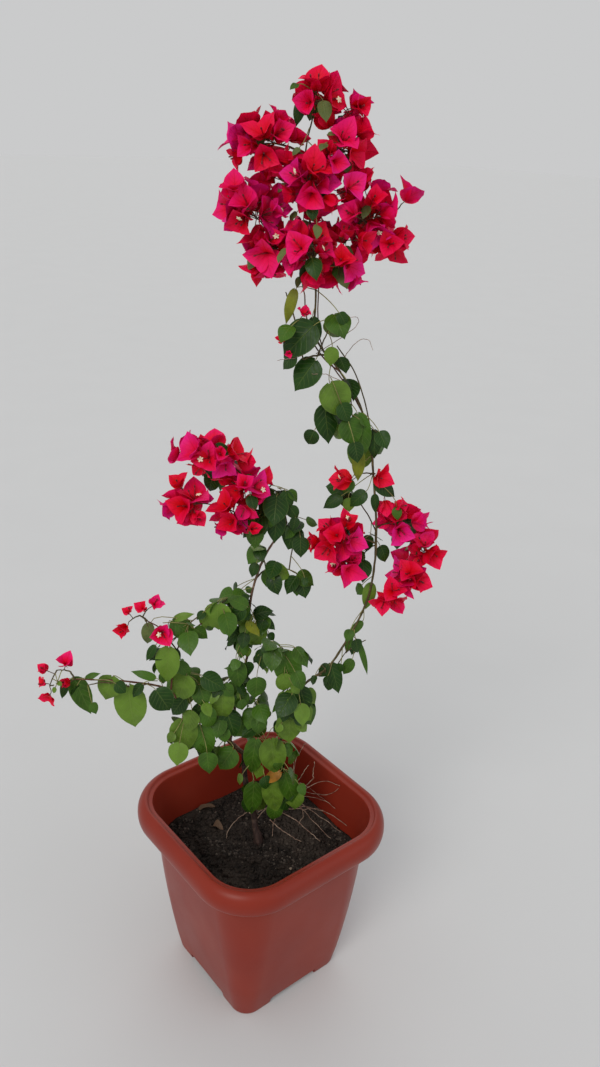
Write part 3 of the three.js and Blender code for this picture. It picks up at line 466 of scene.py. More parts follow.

# Leaves the photo shows plainly, each in place of one of the source's: from, to, width and tone
# A dark tone is partly painted shade, for a leaf lying in shade, and a bright tone partly painted light,
# for a leaf in the light.
SEEN_LEAVES = {
    "left_shoot_leaves": (
        (-352, -101, 764, -362, -107, 727, 16, "dark"), (-339, -96, 765, -309, -108, 695, 37, "mid"),
        (-273, -88, 766, -288, -96, 717, 46, "bright"), (-247, -72, 735, -238, -88, 642, 60, "bright"),
        (-200, -65, 751, -244, -67, 766, 16, "mid"), (-318, -97, 769, -292, -99, 781, 12, "mid"),
    ),
    "left_arch_leaves": (
        (-176, -42, 801, -182, -54, 729, 47, "bright"), (-201, -47, 808, -219, -53, 777, 16, "dark"),
        (-211, -32, 845, -220, -40, 799, 25, "young"), (-170, -27, 849, -124, -33, 814, 40, "mid"),
        (-168, -23, 851, -132, -25, 866, 16, "bright"), (-89, -11, 878, -90, -21, 819, 51, "bright"),
        (-37, -1, 870, -75, -3, 889, 26, "mid"), (-44, -1, 868, -64, -7, 837, 29, "dark"),
    ),
    "left_low_leaves": (
        (-148, -20, 727, -165, -28, 671, 51, "bright"), (-163, -16, 753, -137, -20, 725, 24, "mid"),
        (-152, -25, 679, -178, -31, 641, 34, "dark"), (-157, -20, 627, -145, -32, 550, 56, "bright"),
        (-121, -12, 608, -110, -24, 528, 49, "mid"), (-109, -12, 655, -146, -16, 633, 27, "dark"),
        (-59, 4, 540, -88, -4, 490, 46, "mid"),
    ),
    "centre_low_leaves": (
        (-81, -1, 694, -80, -15, 606, 48, "bright"), (-56, 8, 743, -47, 0, 685, 38, "mid"),
        (-72, 5, 632, -53, -5, 570, 45, "dark"), (-18, 30, 809, -7, 22, 765, 34, "bright"),
    ),
    "base_leaves": (
        (-14, 8, 562, -25, -4, 472, 40, "mid"), (16, 4, 566, 29, -8, 482, 55, "bright"),
        (37, 2, 489, -1, -2, 463, 24, "turning"), (-15, 11, 451, -19, 1, 372, 41, "mid"),
        (19, 6, 465, 32, -6, 379, 45, "bright"), (47, 9, 478, 73, -1, 400, 41, "mid"),
    ),
    "front_leaves": (
        (49, 6, 635, 54, -6, 560, 53, "bright"), (33, 10, 765, 61, -2, 687, 55, "mid"),
        (37, -1, 724, 38, -7, 681, 34, "bright"), (69, 13, 685, 87, 3, 624, 39, "dark"),
    ),
    "right_leaves": (
        (123, 24, 731, 101, 20, 704, 23, "dark"), (127, 25, 733, 148, 15, 667, 33, "dark"),
        (167, 25, 744, 150, 19, 708, 23, "mid"), (162, 32, 798, 153, 24, 753, 15, "mid"),
        (177, 36, 780, 207, 24, 702, 13, "mid"), (182, 36, 822, 155, 32, 791, 17, "mid"),
    ),
    "climbing_low_leaves": (
        (94, 20, 1287, 122, 8, 1231, 57, "bright"), (87, 30, 1246, 100, 18, 1179, 42, "dark"),
        (126, 16, 1227, 144, 8, 1182, 44, "mid"), (145, 28, 1233, 165, 12, 1152, 37, "mid"),
        (176, 39, 1202, 181, 29, 1147, 26, "dark"), (151, 27, 1170, 153, 17, 1111, 24, "yellow"),
    ),
    "climbing_high_leaves": (
        (29, 28, 1437, 14, 16, 1381, 19, "yellow"), (61, 13, 1384, 10, 3, 1332, 55, "dark"),
        (60, 21, 1395, 72, 11, 1351, 23, "dark"), (94, 15, 1349, 92, 9, 1317, 25, "bright"),
        (67, 21, 1325, 32, 11, 1275, 50, "dark"),
    ),
    "right_bloom_leaves": (
        (126, 34, 1080, 93, 30, 1057, 25, "dark"), (142, 38, 1110, 129, 34, 1082, 25, "mid"),
        (169, 36, 1088, 140, 32, 1060, 27, "dark"), (187, 40, 1107, 228, 36, 1081, 30, "dark"),
        (186, 33, 1085, 190, 27, 1050, 16, "dark"), (194, 45, 900, 188, 35, 842, 26, "bright"),
    ),
    "left_blooms": (
        (27, 28, 1087, 33, 20, 1044, 27, "dark"), (13, 25, 1047, 9, 15, 989, 36, "dark"),
    ),
    "crown_blooms": (
        (28, 48, 1713, 21, 40, 1677, 18, "dark"),
    ),
}

# Blooms the photo shows plainly, likewise: middle, length of the bracts, tone, and whether a flower is open
SEEN_BLOOMS = {
    "left_tip_blooms": (
        (-348, -114, 814, 29, "rose", False), (-387, -116, 798, 20, "crimson", False),
        (-392, -116, 771, 17, "crimson", False), (-352, -110, 766, 20, "crimson", False),
        (-385, -114, 731, 22, "crimson", False),
    ),
    "left_spray_blooms": (
        (-187, -52, 836, 35, "rose", True), (-260, -52, 842, 29, "crimson", False),
        (-248, -50, 881, 18, "crimson", False), (-224, -48, 888, 21, "crimson", False),
        (-197, -46, 898, 25, "rose", False),
    ),
    "climbing_high_leaves": (
        (46, 12, 1408, 20, "rose", False), (9, 8, 1362, 14, "crimson", False),
        (23, 8, 1338, 12, "rose", False),
    ),
}

# The strands of each kind, from foot to tip
DRY_TWIGS = (
    (
        (-18, 32, 366), (20, 44, 372), (57, 46, 374), (79, 56, 374), (105, 80, 388), (137, 100, 387),
        (167, 71, 400),
    ),
    (
        (-15, 26, 352), (14, 44, 360), (54, 46, 363), (81, 58, 353), (123, 74, 330), (155, 70, 320),
        (184, 38, 320),
    ),
    ((20, 44, 358), (54, 46, 363), (81, 58, 353), (108, 60, 318), (127, 45, 307), (151, 20, 301)),
    ((26, 46, 376), (57, 46, 390), (78, 60, 390), (114, 88, 362), (146, 90, 359), (164, 70, 392)),
    ((20, 48, 384), (56, 46, 406), (81, 66, 409), (103, 96, 370), (128, 104, 342), (143, 92, 338)),
    ((36, 44, 362), (54, 46, 363), (81, 54, 357), (92, 62, 325), (85, 58, 309), (82, 56, 301)),
    ((10, 44, 352), (53, 46, 371), (82, 60, 360), (116, 70, 327), (143, 52, 319), (172, 26, 313)),
    ((30, 46, 372), (57, 46, 379), (81, 62, 377), (110, 86, 354), (139, 86, 344), (160, 66, 343)),
    ((-13, 24, 348), (-26, 40, 350), (-36, 58, 325), (-52, 52, 317), (-66, 32, 310), (-71, 12, 303)),
    ((-11, 21, 342), (11, 40, 358), (31, 60, 325), (28, 42, 311), (26, 20, 303)),
    ((36, 46, 372), (64, 45, 438), (68, 45, 477), (78, 45, 509), (88, 45, 528)),
    ((34, 44, 392), (62, 42, 449), (64, 42, 486), (67, 42, 518)),
    ((44, 50, 384), (80, 52, 433), (88, 52, 450), (97, 50, 469)),
    ((58, 54, 384), (104, 50, 427), (107, 50, 455), (109, 50, 478)),
    ((40, 44, 358), (90, 66, 338), (124, 92, 318), (138, 94, 308)),
    ((34, 46, 352), (76, 40, 330), (104, 26, 312), (128, 8, 303)),
    ((20, 40, 330), (44, 26, 318), (66, 14, 310), (88, 6, 303)),
)
TENDRILS = (
    ((68, 25, 1336), (86, 33, 1346), (115, 36, 1367), (135, 36, 1384), (134, 36, 1396), (122, 36, 1396)),
    ((108, 34, 1310), (122, 38, 1338), (140, 40, 1358), (156, 40, 1358), (163, 40, 1342)),
    ((66, 24, 1352), (40, 8, 1334), (4, -6, 1330)),
    ((112, 34, 1290), (86, 16, 1304), (62, 8, 1306)),
)
THIN_STEMS = (
    (
        (160, 52, 1221), (144, 50, 1249), (125, 46, 1278), (99, 40, 1310), (78, 34, 1347), (69, 36, 1393),
        (68, 50, 1480),
    ),
    ((110, 30, 1306), (85, 24, 1326), (61, 30, 1357), (49, 38, 1396), (44, 42, 1433), (36, 44, 1470)),
)


def unit(v):
    return v / np.linalg.norm(v)


def mix(pair, share):
    return pair[0] + (pair[1] - pair[0]) * share


def draws(seed):
    """The source's own run of numbers from 0 to 1 for a seed."""
    state = seed

    def draw():
        nonlocal state
        state = (state + 0x6D2B79F5) & WORD
        t = ((state ^ (state >> 15)) * (state | 1)) & WORD
        t ^= (t + (((t ^ (t >> 7)) * (t | 61)) & WORD)) & WORD
        return ((t ^ (t >> 14)) & WORD) / (WORD + 1)

    return draw


def smooth_line(points, count):
    """count + 1 points, even by parameter, on the smooth curve through the given ones."""
    given = np.array(points, float)
    padded = np.vstack([2 * given[0] - given[1], given, 2 * given[-1] - given[-2]])
    spans = len(given) - 1
    line = []
    for i in range(count + 1):
        place = spans * i / count
        k = min(int(place), spans - 1)
        t = place - k
        a, b, c, d = padded[k : k + 4]
        leave, arrive = (c - a) / 2, (d - b) / 2
        square = (3 * (c - b) - 2 * leave - arrive) * t**2
        line.append(b + leave * t + square + (leave + arrive - 2 * (c - b)) * t**3)
    return np.array(line)


def bezier(foot, bow, end, shares):
    t = np.asarray(shares, float)[:, None]
    return (1 - t) ** 2 * foot + 2 * t * (1 - t) * bow + t**2 * end


def twig_line(way, count=3):
    return bezier(*way, np.linspace(0, 1, count))


def gaps(points, starts, ends):
    """How far each point is from each stretch."""
    way = ends - starts
    away = points[:, None] - starts[None]
    along = np.clip((away * way).sum(2) / (way**2).sum(1), 0, 1)
    return np.linalg.norm(away - along[..., None] * way, axis=2)


class Lobe(NamedTuple):
    """One space of a mass and how many blooms and leaves it holds."""

    middle: np.ndarray
    halves: np.ndarray
    blooms: int
    leaves: int


def lobes_of(rows):
    return [Lobe(np.array(row[:3], float), np.array(row[3:6], float), *row[6:]) for row in rows]


LIMB_LINES = {name: smooth_line(points, LIMB_STEPS) for name, (_, _, points) in LIMBS.items()}
LIMB_STARTS = np.vstack([line[:-1] for line in LIMB_LINES.values()])
LIMB_ENDS = np.vstack([line[1:] for line in LIMB_LINES.values()])
LIMB_WIDTHS = [mix(thick, np.arange(LIMB_STEPS) / LIMB_STEPS) for _, thick, _ in LIMBS.values()]
LIMB_NEAR = np.concatenate(LIMB_WIDTHS) / 2 + LIMB_MARGIN

LOBES = {name: lobes_of(mass.lobes) for name, mass in MASSES.items()}
LOBE_OWNERS = np.array([name for name, lobes in LOBES.items() for _ in lobes])
LOBE_MIDDLES = np.array([lobe.middle for lobes in LOBES.values() for lobe in lobes])
LOBE_HALVES = np.array([lobe.halves for lobes in LOBES.values() for lobe in lobes])

# What stays in sight: the middle and length of each leaf and bloom that shows plainly, and the trunk's
SEEN_ENDS = [(np.array(row[:3]), np.array(row[3:6])) for rows in SEEN_LEAVES.values() for row in rows]
SHOWN = [(mix(ends, 0.5), math.dist(*ends)) for ends in SEEN_ENDS]
SHOWN += [(row[:3], row[3]) for rows in SEEN_BLOOMS.values() for row in rows]
SHOWN.append(TRUNK_SHOWS)
SHOWN_MIDDLES = np.array([middle for middle, _ in SHOWN])
SHOWN_LENGTHS = np.array([length for _, length in SHOWN])
SIGHTS = [SHOWN_MIDDLES + (np.array(EYE) - SHOWN_MIDDLES) * share for share in BEFORE]


# Twigs


def touches_limb(points):
    return bool((gaps(points, LIMB_STARTS, LIMB_ENDS) < LIMB_NEAR).any())


def on_line(line, share):
    place = share * (len(line) - 1)
    step = min(int(place), len(line) - 2)
    return line[step] + (line[step + 1] - line[step]) * (place - step)


def clear_way(foot, end, checks):
    """Three points of a way that bows up, and out to one side where a limb is in its way, or None."""
    middle = (foot + end) / 2 + UP * BOW * np.linalg.norm(end - foot)
    sideways = unit(np.cross(end - foot, UP))
    for detour in DETOURS:
        bow = middle + sideways * detour
        if not touches_limb(bezier(foot, bow, end, checks)):
            return foot, bow, end
    return None


def ends_in(foot, lobe):
    """Where a twig may end in a lobe: among its leaves, or short of its blooms' middle."""
    if lobe.leaves > lobe.blooms:
        return [lobe.middle + lobe.halves * hold for hold in HOLDS]
    away = foot - lobe.middle
    short = SHORT_OF_MIDDLE if lobe.blooms + lobe.leaves > 1 else 1
    back = short * lobe.halves.mean() / np.linalg.norm(away)
    return [lobe.middle + away * min(back, MOST_SHORT)]


def twig_ways(name):
    """The twigs of a mass: one from its limb to its first lobe, and one from them to each further lobe."""
    ways = []
    for lobe in LOBES[name]:
        below = lobe.middle - UP * lobe.halves[2] / 2
        feet, checks = list(LIMB_LINES[MASSES[name].limb]), WAY_CHECKS[CHECKS_BY_LIMB:]
        if ways:
            lines = [twig_line(way) for way in ways if way]
            feet, checks = [on_line(line, share) for line in lines for share in FORK_SHARES], WAY_CHECKS
        feet.sort(key=lambda foot: np.linalg.norm(foot - below))
        trials = ((foot, end) for foot in feet[:NEAREST_FEET] for end in ends_in(foot, lobe))
        tried = (clear_way(foot, end, checks) for foot, end in trials)
        ways.append(next((way for way in tried if way), None))
    return ways


def stretches(ways):
    lines = [twig_line(way) for way in ways if way]
    return [pair for line in lines for pair in zip(line[:-1], line[1:])]


def twig_feet(name, ways):
    """Places on a mass's twigs and its limb that a stalk may leave."""
    shares = np.linspace(*TWIG_FEET)
    return [*LIMB_LINES[MASSES[name].limb], *(foot for way in ways if way for foot in bezier(*way, shares))]


# Leaves and blooms as the source lays them out


def nudge(draw):
    return (np.array([draw(), draw(), draw()]) - 0.5) * NUDGE


def direction(k, count, phase, draw):
    height = 1 - (2 * k + 1) / count
    turn = phase + k * GOLDEN_ANGLE
    flat = math.sqrt(1 - height * height)
    return unit(np.array([flat * math.cos(turn), flat * math.sin(turn), height]) + nudge(draw))


def foot_for(base, axis, feet):
    """The foot from which a stalk runs straightest into what it bears."""
    away = base - feet
    far = np.linalg.norm(away, axis=1)
    return feet[int(np.argmax(away @ axis / np.maximum(far, 1e-6) - STALK_COST * far))]


def size_for(kind, mass, draw):
    return mix(BRACT_LENGTH if kind == "bloom" else mass.leaf, draw()) * mass.small


def hung(kind, mass, out, centre, size, feet, draw, back=0):
    """A leaf or bloom round a place, turned to the light, or a share back of them out of their lobe."""
    axis = out * (1 if kind == "bloom" else LEAF_OUT) + nudge(draw)
    axis = unit(axis + UP * (BLOOM_LIFT if kind == "bloom" else -mass.hang))
    base = centre - axis * SET_BACK * size
    foot = foot_for(base, axis, feet)
    axis = unit(axis + unit(base - foot) * STALK_PULL)
    face = out + UP * 0.5 if back and draw() < back else LIGHT + out * FACE_OUT
    return {
        "kind": kind, "axis": axis, "face": unit(face - axis * (face @ axis)), "base": base,
        "size": size, "foot": foot, "turn": 2 * math.pi * draw(),
    }


def organ_at(mass, lobe, line, k, phase, draw):
    """One bloom or leaf of a lobe, k out of its count, by the source's rule."""
    count = lobe.blooms + lobe.leaves
    kind = "bloom" if k < lobe.blooms else "leaf"
    away = unit(lobe.middle - line[0])
    out = unit(direction(k, count, phase, draw) * (count - 1) / count + away / count)
    reach = (1 - 1 / count) * mix(SPREAD, draw())
    size = size_for(kind, mass, draw)
    step = FEET_STRETCH / STALK_FEET
    feet = np.array([on_line(line, LAST_FOOT - step * (i + k / count)) for i in range(STALK_FEET)])
    return hung(kind, mass, out, lobe.middle + lobe.halves * out * reach, size, feet, draw)


def finer_organ(mass, lobe, feet, k, count, kind, phase, draw):
    """A smaller leaf or bloom among those of the source, on the nearest twig or stalk that suits it."""
    out = direction(k, count, phase, draw)
    centre = lobe.middle + lobe.halves * out * mix(FINER_REACH, draw())
    size = size_for(kind, mass, draw) * mix(FINER_SIZES[kind], draw())
    return hung(kind, mass, out, centre, size, feet, draw, FINER_BACK)


def seen_leaf(feet, row):
    """A leaf of the photo, from its stalk to its tip, turned to the light."""
    base, tip = np.array(row[:3], float), np.array(row[3:6], float)
    length = np.linalg.norm(tip - base)
    axis = (tip - base) / length
    return {
        "kind": "leaf", "axis": axis, "face": unit(LIGHT - axis * (LIGHT @ axis)), "base": base,
        "size": length / LEAF_SIZE, "foot": foot_for(base, axis, feet),
        "width": row[6], "tone": "leaves_" + row[7],
    }


def seen_bloom(feet, row):
    """A bloom of the photo, on the nearest twig and half turned to the light."""
    middle = np.array(row[:3], float)
    foot = feet[int(np.argmin(np.linalg.norm(feet - middle, axis=1)))]
    axis = unit(unit(middle - foot) + LIGHT)
    size = row[3] / BLOOM_SIZE
    return {
        "kind": "bloom", "axis": axis, "face": unit(np.cross(axis, UP)),
        "base": middle - axis * SET_BACK * size, "size": size, "foot": foot, "turn": 0,
        "tone": "bracts_" + row[4], "starred": row[5],
    }


def turned(v, axis, angle):
    """v turned about a unit axis."""
    along = axis * (axis @ v) * (1 - math.cos(angle))
    return v * math.cos(angle) + np.cross(axis, v) * math.sin(angle) + along


def outline_of(organ):
    """The tips and the widest points of an organ."""
    axis, face, base, size = organ["axis"], organ["face"], organ["base"], organ["size"]
    if organ["kind"] == "bloom":

        def reach(sixth, share):
            out = turned(face, axis, organ["turn"] + sixth * math.pi / 3)
            return base + share * size * (axis * math.cos(BRACT_TILT) + out * math.sin(BRACT_TILT))

        return [reach(i, 1) for i in (0, 2, 4)], [reach(i, NOTCH) for i in (1, 3, 5)]
    side = np.cross(face, axis) * size * BLADE_WIDTH / 2
    wide = base + axis * WIDEST * size
    return [base + axis * size], [wide + side, wide - side]


def faces_of(organ):
    tips, sides = outline_of(organ)
    base = organ["base"]
    if organ["kind"] == "leaf":
        return [(base, side, tips[0]) for side in sides]
    return [(base, sides[j], tip) for i, tip in enumerate(tips) for j in (i, (i + 2) % 3)]


def stalk_point(organ, share):
    return organ["foot"] + (organ["base"] - organ["foot"]) * share


def edges_of(organ, faces, start=STALK_START):
    """The edges of an organ's faces, and its stalk from a share of its way on."""
    edges = [(face[i], face[(i + 1) % 3]) for face in faces for i in range(3)]
    return [*edges, (stalk_point(organ, start), organ["base"])]


def spots_of(organ, shares):
    """Points of an organ to test: those shares of its stalk, its base, its rim and halfway to the rim."""
    tips, sides = outline_of(organ)
    rim = np.array([*tips, *sides])
    stalk = [stalk_point(organ, share) for share in shares]
    return np.vstack([stalk, [organ["base"]], rim, (rim + organ["base"]) / 2])


# What keeps a leaf or bloom out


def crosses(edges, faces):
    """Whether any of the edges passes through any of the faces."""
    if not len(edges) or not len(faces):
        return False
    edges, faces = np.array(edges), np.array(faces)
    ray = (edges[:, 1] - edges[:, 0])[:, None]
    a = faces[None, :, 0]
    ab, ac = faces[None, :, 1] - a, faces[None, :, 2] - a
    across = np.cross(ray, ac)
    slope = (ab * across).sum(2)
    slope = np.where(np.abs(slope) < 1e-9, np.inf, slope)
    away = edges[:, 0][:, None] - a
    u = (away * across).sum(2) / slope
    past = np.cross(away, ab)
    v = (ray * past).sum(2) / slope
    along = (ac * past).sum(2) / slope
    return bool(((u > 0) & (v > 0) & (u + v < 1) & (along > 0) & (along < 1)).any())


def in_own_space(name, points):
    """Whether each point is nearer to the mass's own lobes than to any other's, by the lobes' own sizes."""
    out = np.linalg.norm((points[:, None] - LOBE_MIDDLES) / LOBE_HALVES, axis=2)
    own = out[:, LOBE_OWNERS == name].min(1)
    other = out[:, LOBE_OWNERS != name].min(1)
    return bool(((own <= SPACE_SLACK) & (other > own + SPACE_APART)).all())


def hides_shown(organ):
    """Whether an organ stands before a leaf, a bloom or the trunk's foot that the photo shows plainly."""
    middle = organ["base"] + organ["axis"] * organ["size"] * SET_BACK
    return bool((gaps(middle[None], *SIGHTS) < (organ["size"] + SHOWN_LENGTHS) * COVER).any())


def hangs_well(organ, longest=math.inf):
    """Whether an organ's stalk has a fair length and runs on into it."""
    way = organ["base"] - organ["foot"]
    length = np.linalg.norm(way)
    return SHORTEST_STALK <= length < longest and way @ organ["axis"] / length >= LEAST_IN_LINE


def keeps(name, organ, taken):
    """Whether an organ stays in its mass's space, clear of limbs, strange twigs and its fellows."""
    spots = spots_of(organ, STALK_SPOTS)
    if not hangs_well(organ) or touches_limb(spots) or not in_own_space(name, spots):
        return False
    strange, faces = taken["strange"], faces_of(organ)
    if (gaps(spots, strange[:, 0], strange[:, 1]) < TWIG_MARGIN).any():
        return False
    if crosses(edges_of(organ, faces, 0), taken["faces"]):
        return False
    return not crosses([*taken["edges"], *strange], faces) and not hides_shown(organ)


def take(organ, taken):
    faces = faces_of(organ)
    taken["faces"] += faces
    taken["edges"] += edges_of(organ, faces)


def ball_round(edges):
    """The middle of some edges, and how far they reach from it."""
    ends = edges.reshape(-1, 3)
    middle = ends.mean(0)
    return middle, np.linalg.norm(ends - middle, axis=1).max()


class Crowd:
    """All blooms and leaves so far, so that a further one is tried against those near it."""

    def __init__(self, twigs):
        self.twigs = np.array(twigs)
        self.middles = np.zeros((MOST_ORGANS, 3))
        self.reaches = np.zeros(MOST_ORGANS)
        self.faces, self.edges = [], []

    def add(self, organ):
        faces = faces_of(organ)
        edges = np.array(edges_of(organ, faces))
        count = len(self.faces)
        self.middles[count], self.reaches[count] = ball_round(edges)
        self.faces.append(np.array(faces))
        self.edges.append(edges)

    def has_room(self, organ):
        """Whether a finer organ hangs well, clear of limbs and twigs, and mostly clear of the others."""
        if not hangs_well(organ, LONGEST_STALK) or hides_shown(organ):
            return False
        spots = spots_of(organ, (0.5,))
        if touches_limb(spots) or (gaps(spots[1:], self.twigs[:, 0], self.twigs[:, 1]) < TWIG_CLEAR).any():
            return False
        faces = faces_of({**organ, "size": organ["size"] * FINER_TOUCH})
        edges = np.array(edges_of(organ, faces, FINER_STALK_START))
        middle, reach = ball_round(edges)
        count = len(self.faces)
        far = np.linalg.norm(self.middles[:count] - middle, axis=1)
        near = np.flatnonzero(far < self.reaches[:count] + reach)
        if not len(near):
            return True
        if crosses(edges, np.concatenate([self.faces[i] for i in near])):
            return False
        return not crosses(np.concatenate([self.edges[i] for i in near]), faces)


# Growing the masses


def first_fit(make, fits):
    """The first of some tries that fits, or None."""
    tries = (make() for _ in range(TRIES))
    return next((organ for organ in tries if fits(organ)), None)


def grow(name, ways, strange):
    """The blooms and leaves the source gives a mass, those the photo shows plainly among them."""
    mass = MASSES[name]
    draw = draws(mass.seed)
    feet = np.array(twig_feet(name, ways))
    organs = [seen_leaf(feet, row) for row in SEEN_LEAVES.get(name, ())]
    organs += [seen_bloom(feet, row) for row in SEEN_BLOOMS.get(name, ())]
    left_out = {kind: sum(organ["kind"] == kind for organ in organs) for kind in ("leaf", "bloom")}
    taken = {"faces": [], "edges": stretches(ways), "strange": np.array(strange)}
    for organ in organs:
        take(organ, taken)
    for lobe, way in zip(LOBES[name], ways):
        phase = 2 * math.pi * draw()
        for k in range(lobe.blooms + lobe.leaves if way else 0):
            kind = "bloom" if k < lobe.blooms else "leaf"
            if left_out[kind] > 0:
                left_out[kind] -= 1
                continue
            organ = first_fit(
                lambda: organ_at(mass, lobe, twig_line(way), k, phase, draw),
                lambda organ: keeps(name, organ, taken),
            )
            if organ:
                organs.append(organ)
                take(organ, taken)
    return organs


def finer_counts(name, lobe):
    """How many finer leaves and blooms a lobe of the source gets."""
    leaves = FINER_LEAVES * lobe.leaves * (OPEN_SHARE if name in OPEN else 1)
    single = name in SEEN_BLOOMS or lobe.blooms == 1
    blooms = 0 if single else round(FINER_BLOOMS * lobe.blooms)
    return {"leaf": math.ceil(leaves) + lobe.blooms // BLOOMS_A_LEAF, "bloom": blooms}


def grow_finer(name, lobes, feet, crowd, draw):
    """The finer blooms and leaves of a mass's lobes."""
    organs = []
    for lobe, counts in lobes:
        for kind, count in counts.items():
            phase = 2 * math.pi * draw()
            for k in range(count):
                organ = first_fit(
                    lambda: finer_organ(MASSES[name], lobe, feet, k, count, kind, phase, draw),
                    crowd.has_room,
                )
                if organ:
                    organs.append(organ)
                    crowd.add(organ)
    return organs


def add_finer(ways, grown):
    """Adds the finer blooms and leaves, from the twigs of all the masses that share a limb."""
    crowd = Crowd([stretch for name in MASSES for stretch in stretches(ways[name])])
    feet = {}
    for name, mass in MASSES.items():
        for organ in grown[name]:
            crowd.add(organ)
        stalks = [stalk_point(organ, share) for organ in grown[name] for share in STALK_FORKS]
        feet.setdefault(mass.limb, []).extend([*twig_feet(name, ways[name]), *stalks])
    for n, (name, mass) in enumerate(MASSES.items()):
        lobes = [(lobe, finer_counts(name, lobe)) for lobe, way in zip(LOBES[name], ways[name]) if way]
        fills = lobes_of(FILLS.get(name, ()))
        lobes += [(lobe, {"leaf": lobe.leaves, "bloom": lobe.blooms}) for lobe in fills]
        grown[name] += grow_finer(name, lobes, np.array(feet[mass.limb]), crowd, draws(FINER_SEED + n))


# Meshes

TURN = math.radians(PLANT_TURN)
TO_PART = np.array([[math.cos(TURN), math.sin(TURN), 0], [-math.sin(TURN), math.cos(TURN), 0], [0, 0, 1]])


def linked(name, data):
    made = bpy.data.objects.new(name, data)
    bpy.context.scene.collection.objects.link(made)
    return made


class Skin:
    """Points and faces that become one piece. A place is (along, across, own number) for the patterns."""

    def __init__(self):
        self.points, self.places, self.faces, self.count = [], [], [], 0

    def add(self, points, faces, places=None):
        points = np.asarray(points, float)
        self.points.append(points)
        self.places.append(np.zeros_like(points) if places is None else np.asarray(places, float))
        self.faces += [tuple(self.count + i for i in face) for face in faces]
        self.count += len(points)

    def piece(self, name, material, slot, replaces=(), turn=True):
        points = np.vstack(self.points)
        if turn:
            points = points @ TO_PART
        mesh = bpy.data.meshes.new(name)
        mesh.from_pydata((points * MM).tolist(), [], self.faces)
        place = mesh.attributes.new("place", "FLOAT_VECTOR", "POINT")
        place.data.foreach_set("vector", np.vstack(self.places).astype(np.float32).ravel())
        mesh.materials.append(material)
        mesh.shade_smooth()
        mesh.validate()
        piece = linked(name, mesh)
        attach(piece, "root")
        if replaces:
            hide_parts(*replaces)
        return piece


def grid_faces(rows, columns, wrap=False):
    faces = []
    for r in range(rows - 1):
        for c in range(columns if wrap else columns - 1):
            a, b = r * columns + c, r * columns + (c + 1) % columns
            faces.append((a, b, b + columns, a + columns))
    return faces


def closed_faces(rows, columns):
    """The faces of a skin of rings, with a lid over its first and its last ring."""
    first, last = range(columns), range((rows - 1) * columns, rows * columns)
    return [*grid_faces(rows, columns, wrap=True), tuple(first)[::-1], tuple(last)]


def tube(skin, line, radii, sides, own=0.0, relief=None):
    """A round tube along a line, closed at both ends. Two radii taper; relief(i, turn) adds a share."""
    line = np.asarray(line, float)
    if len(radii) == 2:
        radii = np.linspace(*radii, len(line))
    ways = np.gradient(line, axis=0)
    ways /= np.linalg.norm(ways, axis=1)[:, None]
    side = np.cross(ways[0], UP if abs(ways[0][2]) < 0.9 else np.array([1.0, 0, 0]))
    rows, places = [], []
    run = np.concatenate([[0], np.cumsum(np.linalg.norm(np.diff(line, axis=0), axis=1))])
    for i, (centre, way) in enumerate(zip(line, ways)):
        side = unit(side - way * (side @ way))
        top = np.cross(way, side)
        for k in range(sides):
            turn = 2 * math.pi * k / sides
            radius = radii[i] * (1 + (relief(i, turn) if relief else 0))
            rows.append(centre + (side * math.cos(turn) + top * math.sin(turn)) * radius)
            places.append((run[i] * MM, k / sides, own))
    skin.add(rows, closed_faces(len(line), sides), places)


def blade(skin, base, axis, face, length, width, outline, shape, own):
    """A leaf's or bract's blade as one curved sheet. shape says how it folds, droops, cups and ripples."""
    side = np.cross(face, axis)
    along = np.array([t for t, _ in outline])
    half = np.array([share for _, share in outline]) * width / 2
    bend = shape["droop"] * (along - shape["rise"])
    steps = np.diff(along, prepend=0) * length
    forward = np.cumsum(np.cos(bend) * steps)
    upward = -np.cumsum(np.sin(bend) * steps)
    points, places = [], []
    for t, w, f, u, b in zip(along, half, forward, upward, bend):
        normal = face * math.cos(b) + axis * math.sin(b)
        ahead = axis * math.cos(b) - face * math.sin(b)
        for s in ACROSS:
            x = s * w
            lift = abs(x) * math.tan(shape["fold"]) - shape["curl"] * x * x / (width / 2)
            wave = math.sin(2 * math.pi * (shape["waves"] * t + shape["phase"] + SIDES_APART * (s > 0)))
            lift += shape["ripple"] * s * s * wave * (1 - t**4)
            lobe = -shape["heart"] * length * abs(s) ** 1.5 * max(0, 1 - t * HEART_END)
            points.append(base + axis * f + face * u + side * x + normal * lift + ahead * lobe)
            places.append((t, s, own))
    skin.add(points, grid_faces(len(along), len(ACROSS)), places)


def shape_of(ranges, fixed, draw):
    return {**fixed, **{key: mix(span, draw()) for key, span in ranges.items()}}


def stalk_line(organ):
    """A stalk that leaves its twig and turns smoothly into what it bears."""
    foot, base = organ["foot"], organ["base"]
    far = np.linalg.norm(base - foot)
    t = np.linspace(0, 1, STALK_POINTS)[:, None]
    first = foot + (base - foot) * STALK_PULLS[0] + UP * far * STALK_RISE
    last = base - organ["axis"] * far * STALK_PULLS[1]
    return (1 - t) ** 3 * foot + 3 * t * (1 - t) ** 2 * first + 3 * t**2 * (1 - t) * last + t**3 * base


def add_leaf(skins, organ, tone, broad, share, draw):
    seen = "width" in organ
    size = organ["size"] * LEAF_SIZE * (1 if seen else share)
    own = draw()
    tube(skins["leaf_stalks"], stalk_line(organ), LEAF_STALK, STALK_SIDES, own)
    width = organ.get("width", size * mix(broad, draw()))
    turn = mix(LEAF_TWIST, draw()) * (SEEN_TWIST if seen else 1)
    face = turned(organ["face"], organ["axis"], turn)
    shape = shape_of(LEAF_RANGES, LEAF_FIXED, draw)
    blade(skins[tone], organ["base"], organ["axis"], face, size, width, LEAF_OUTLINE, shape, own)


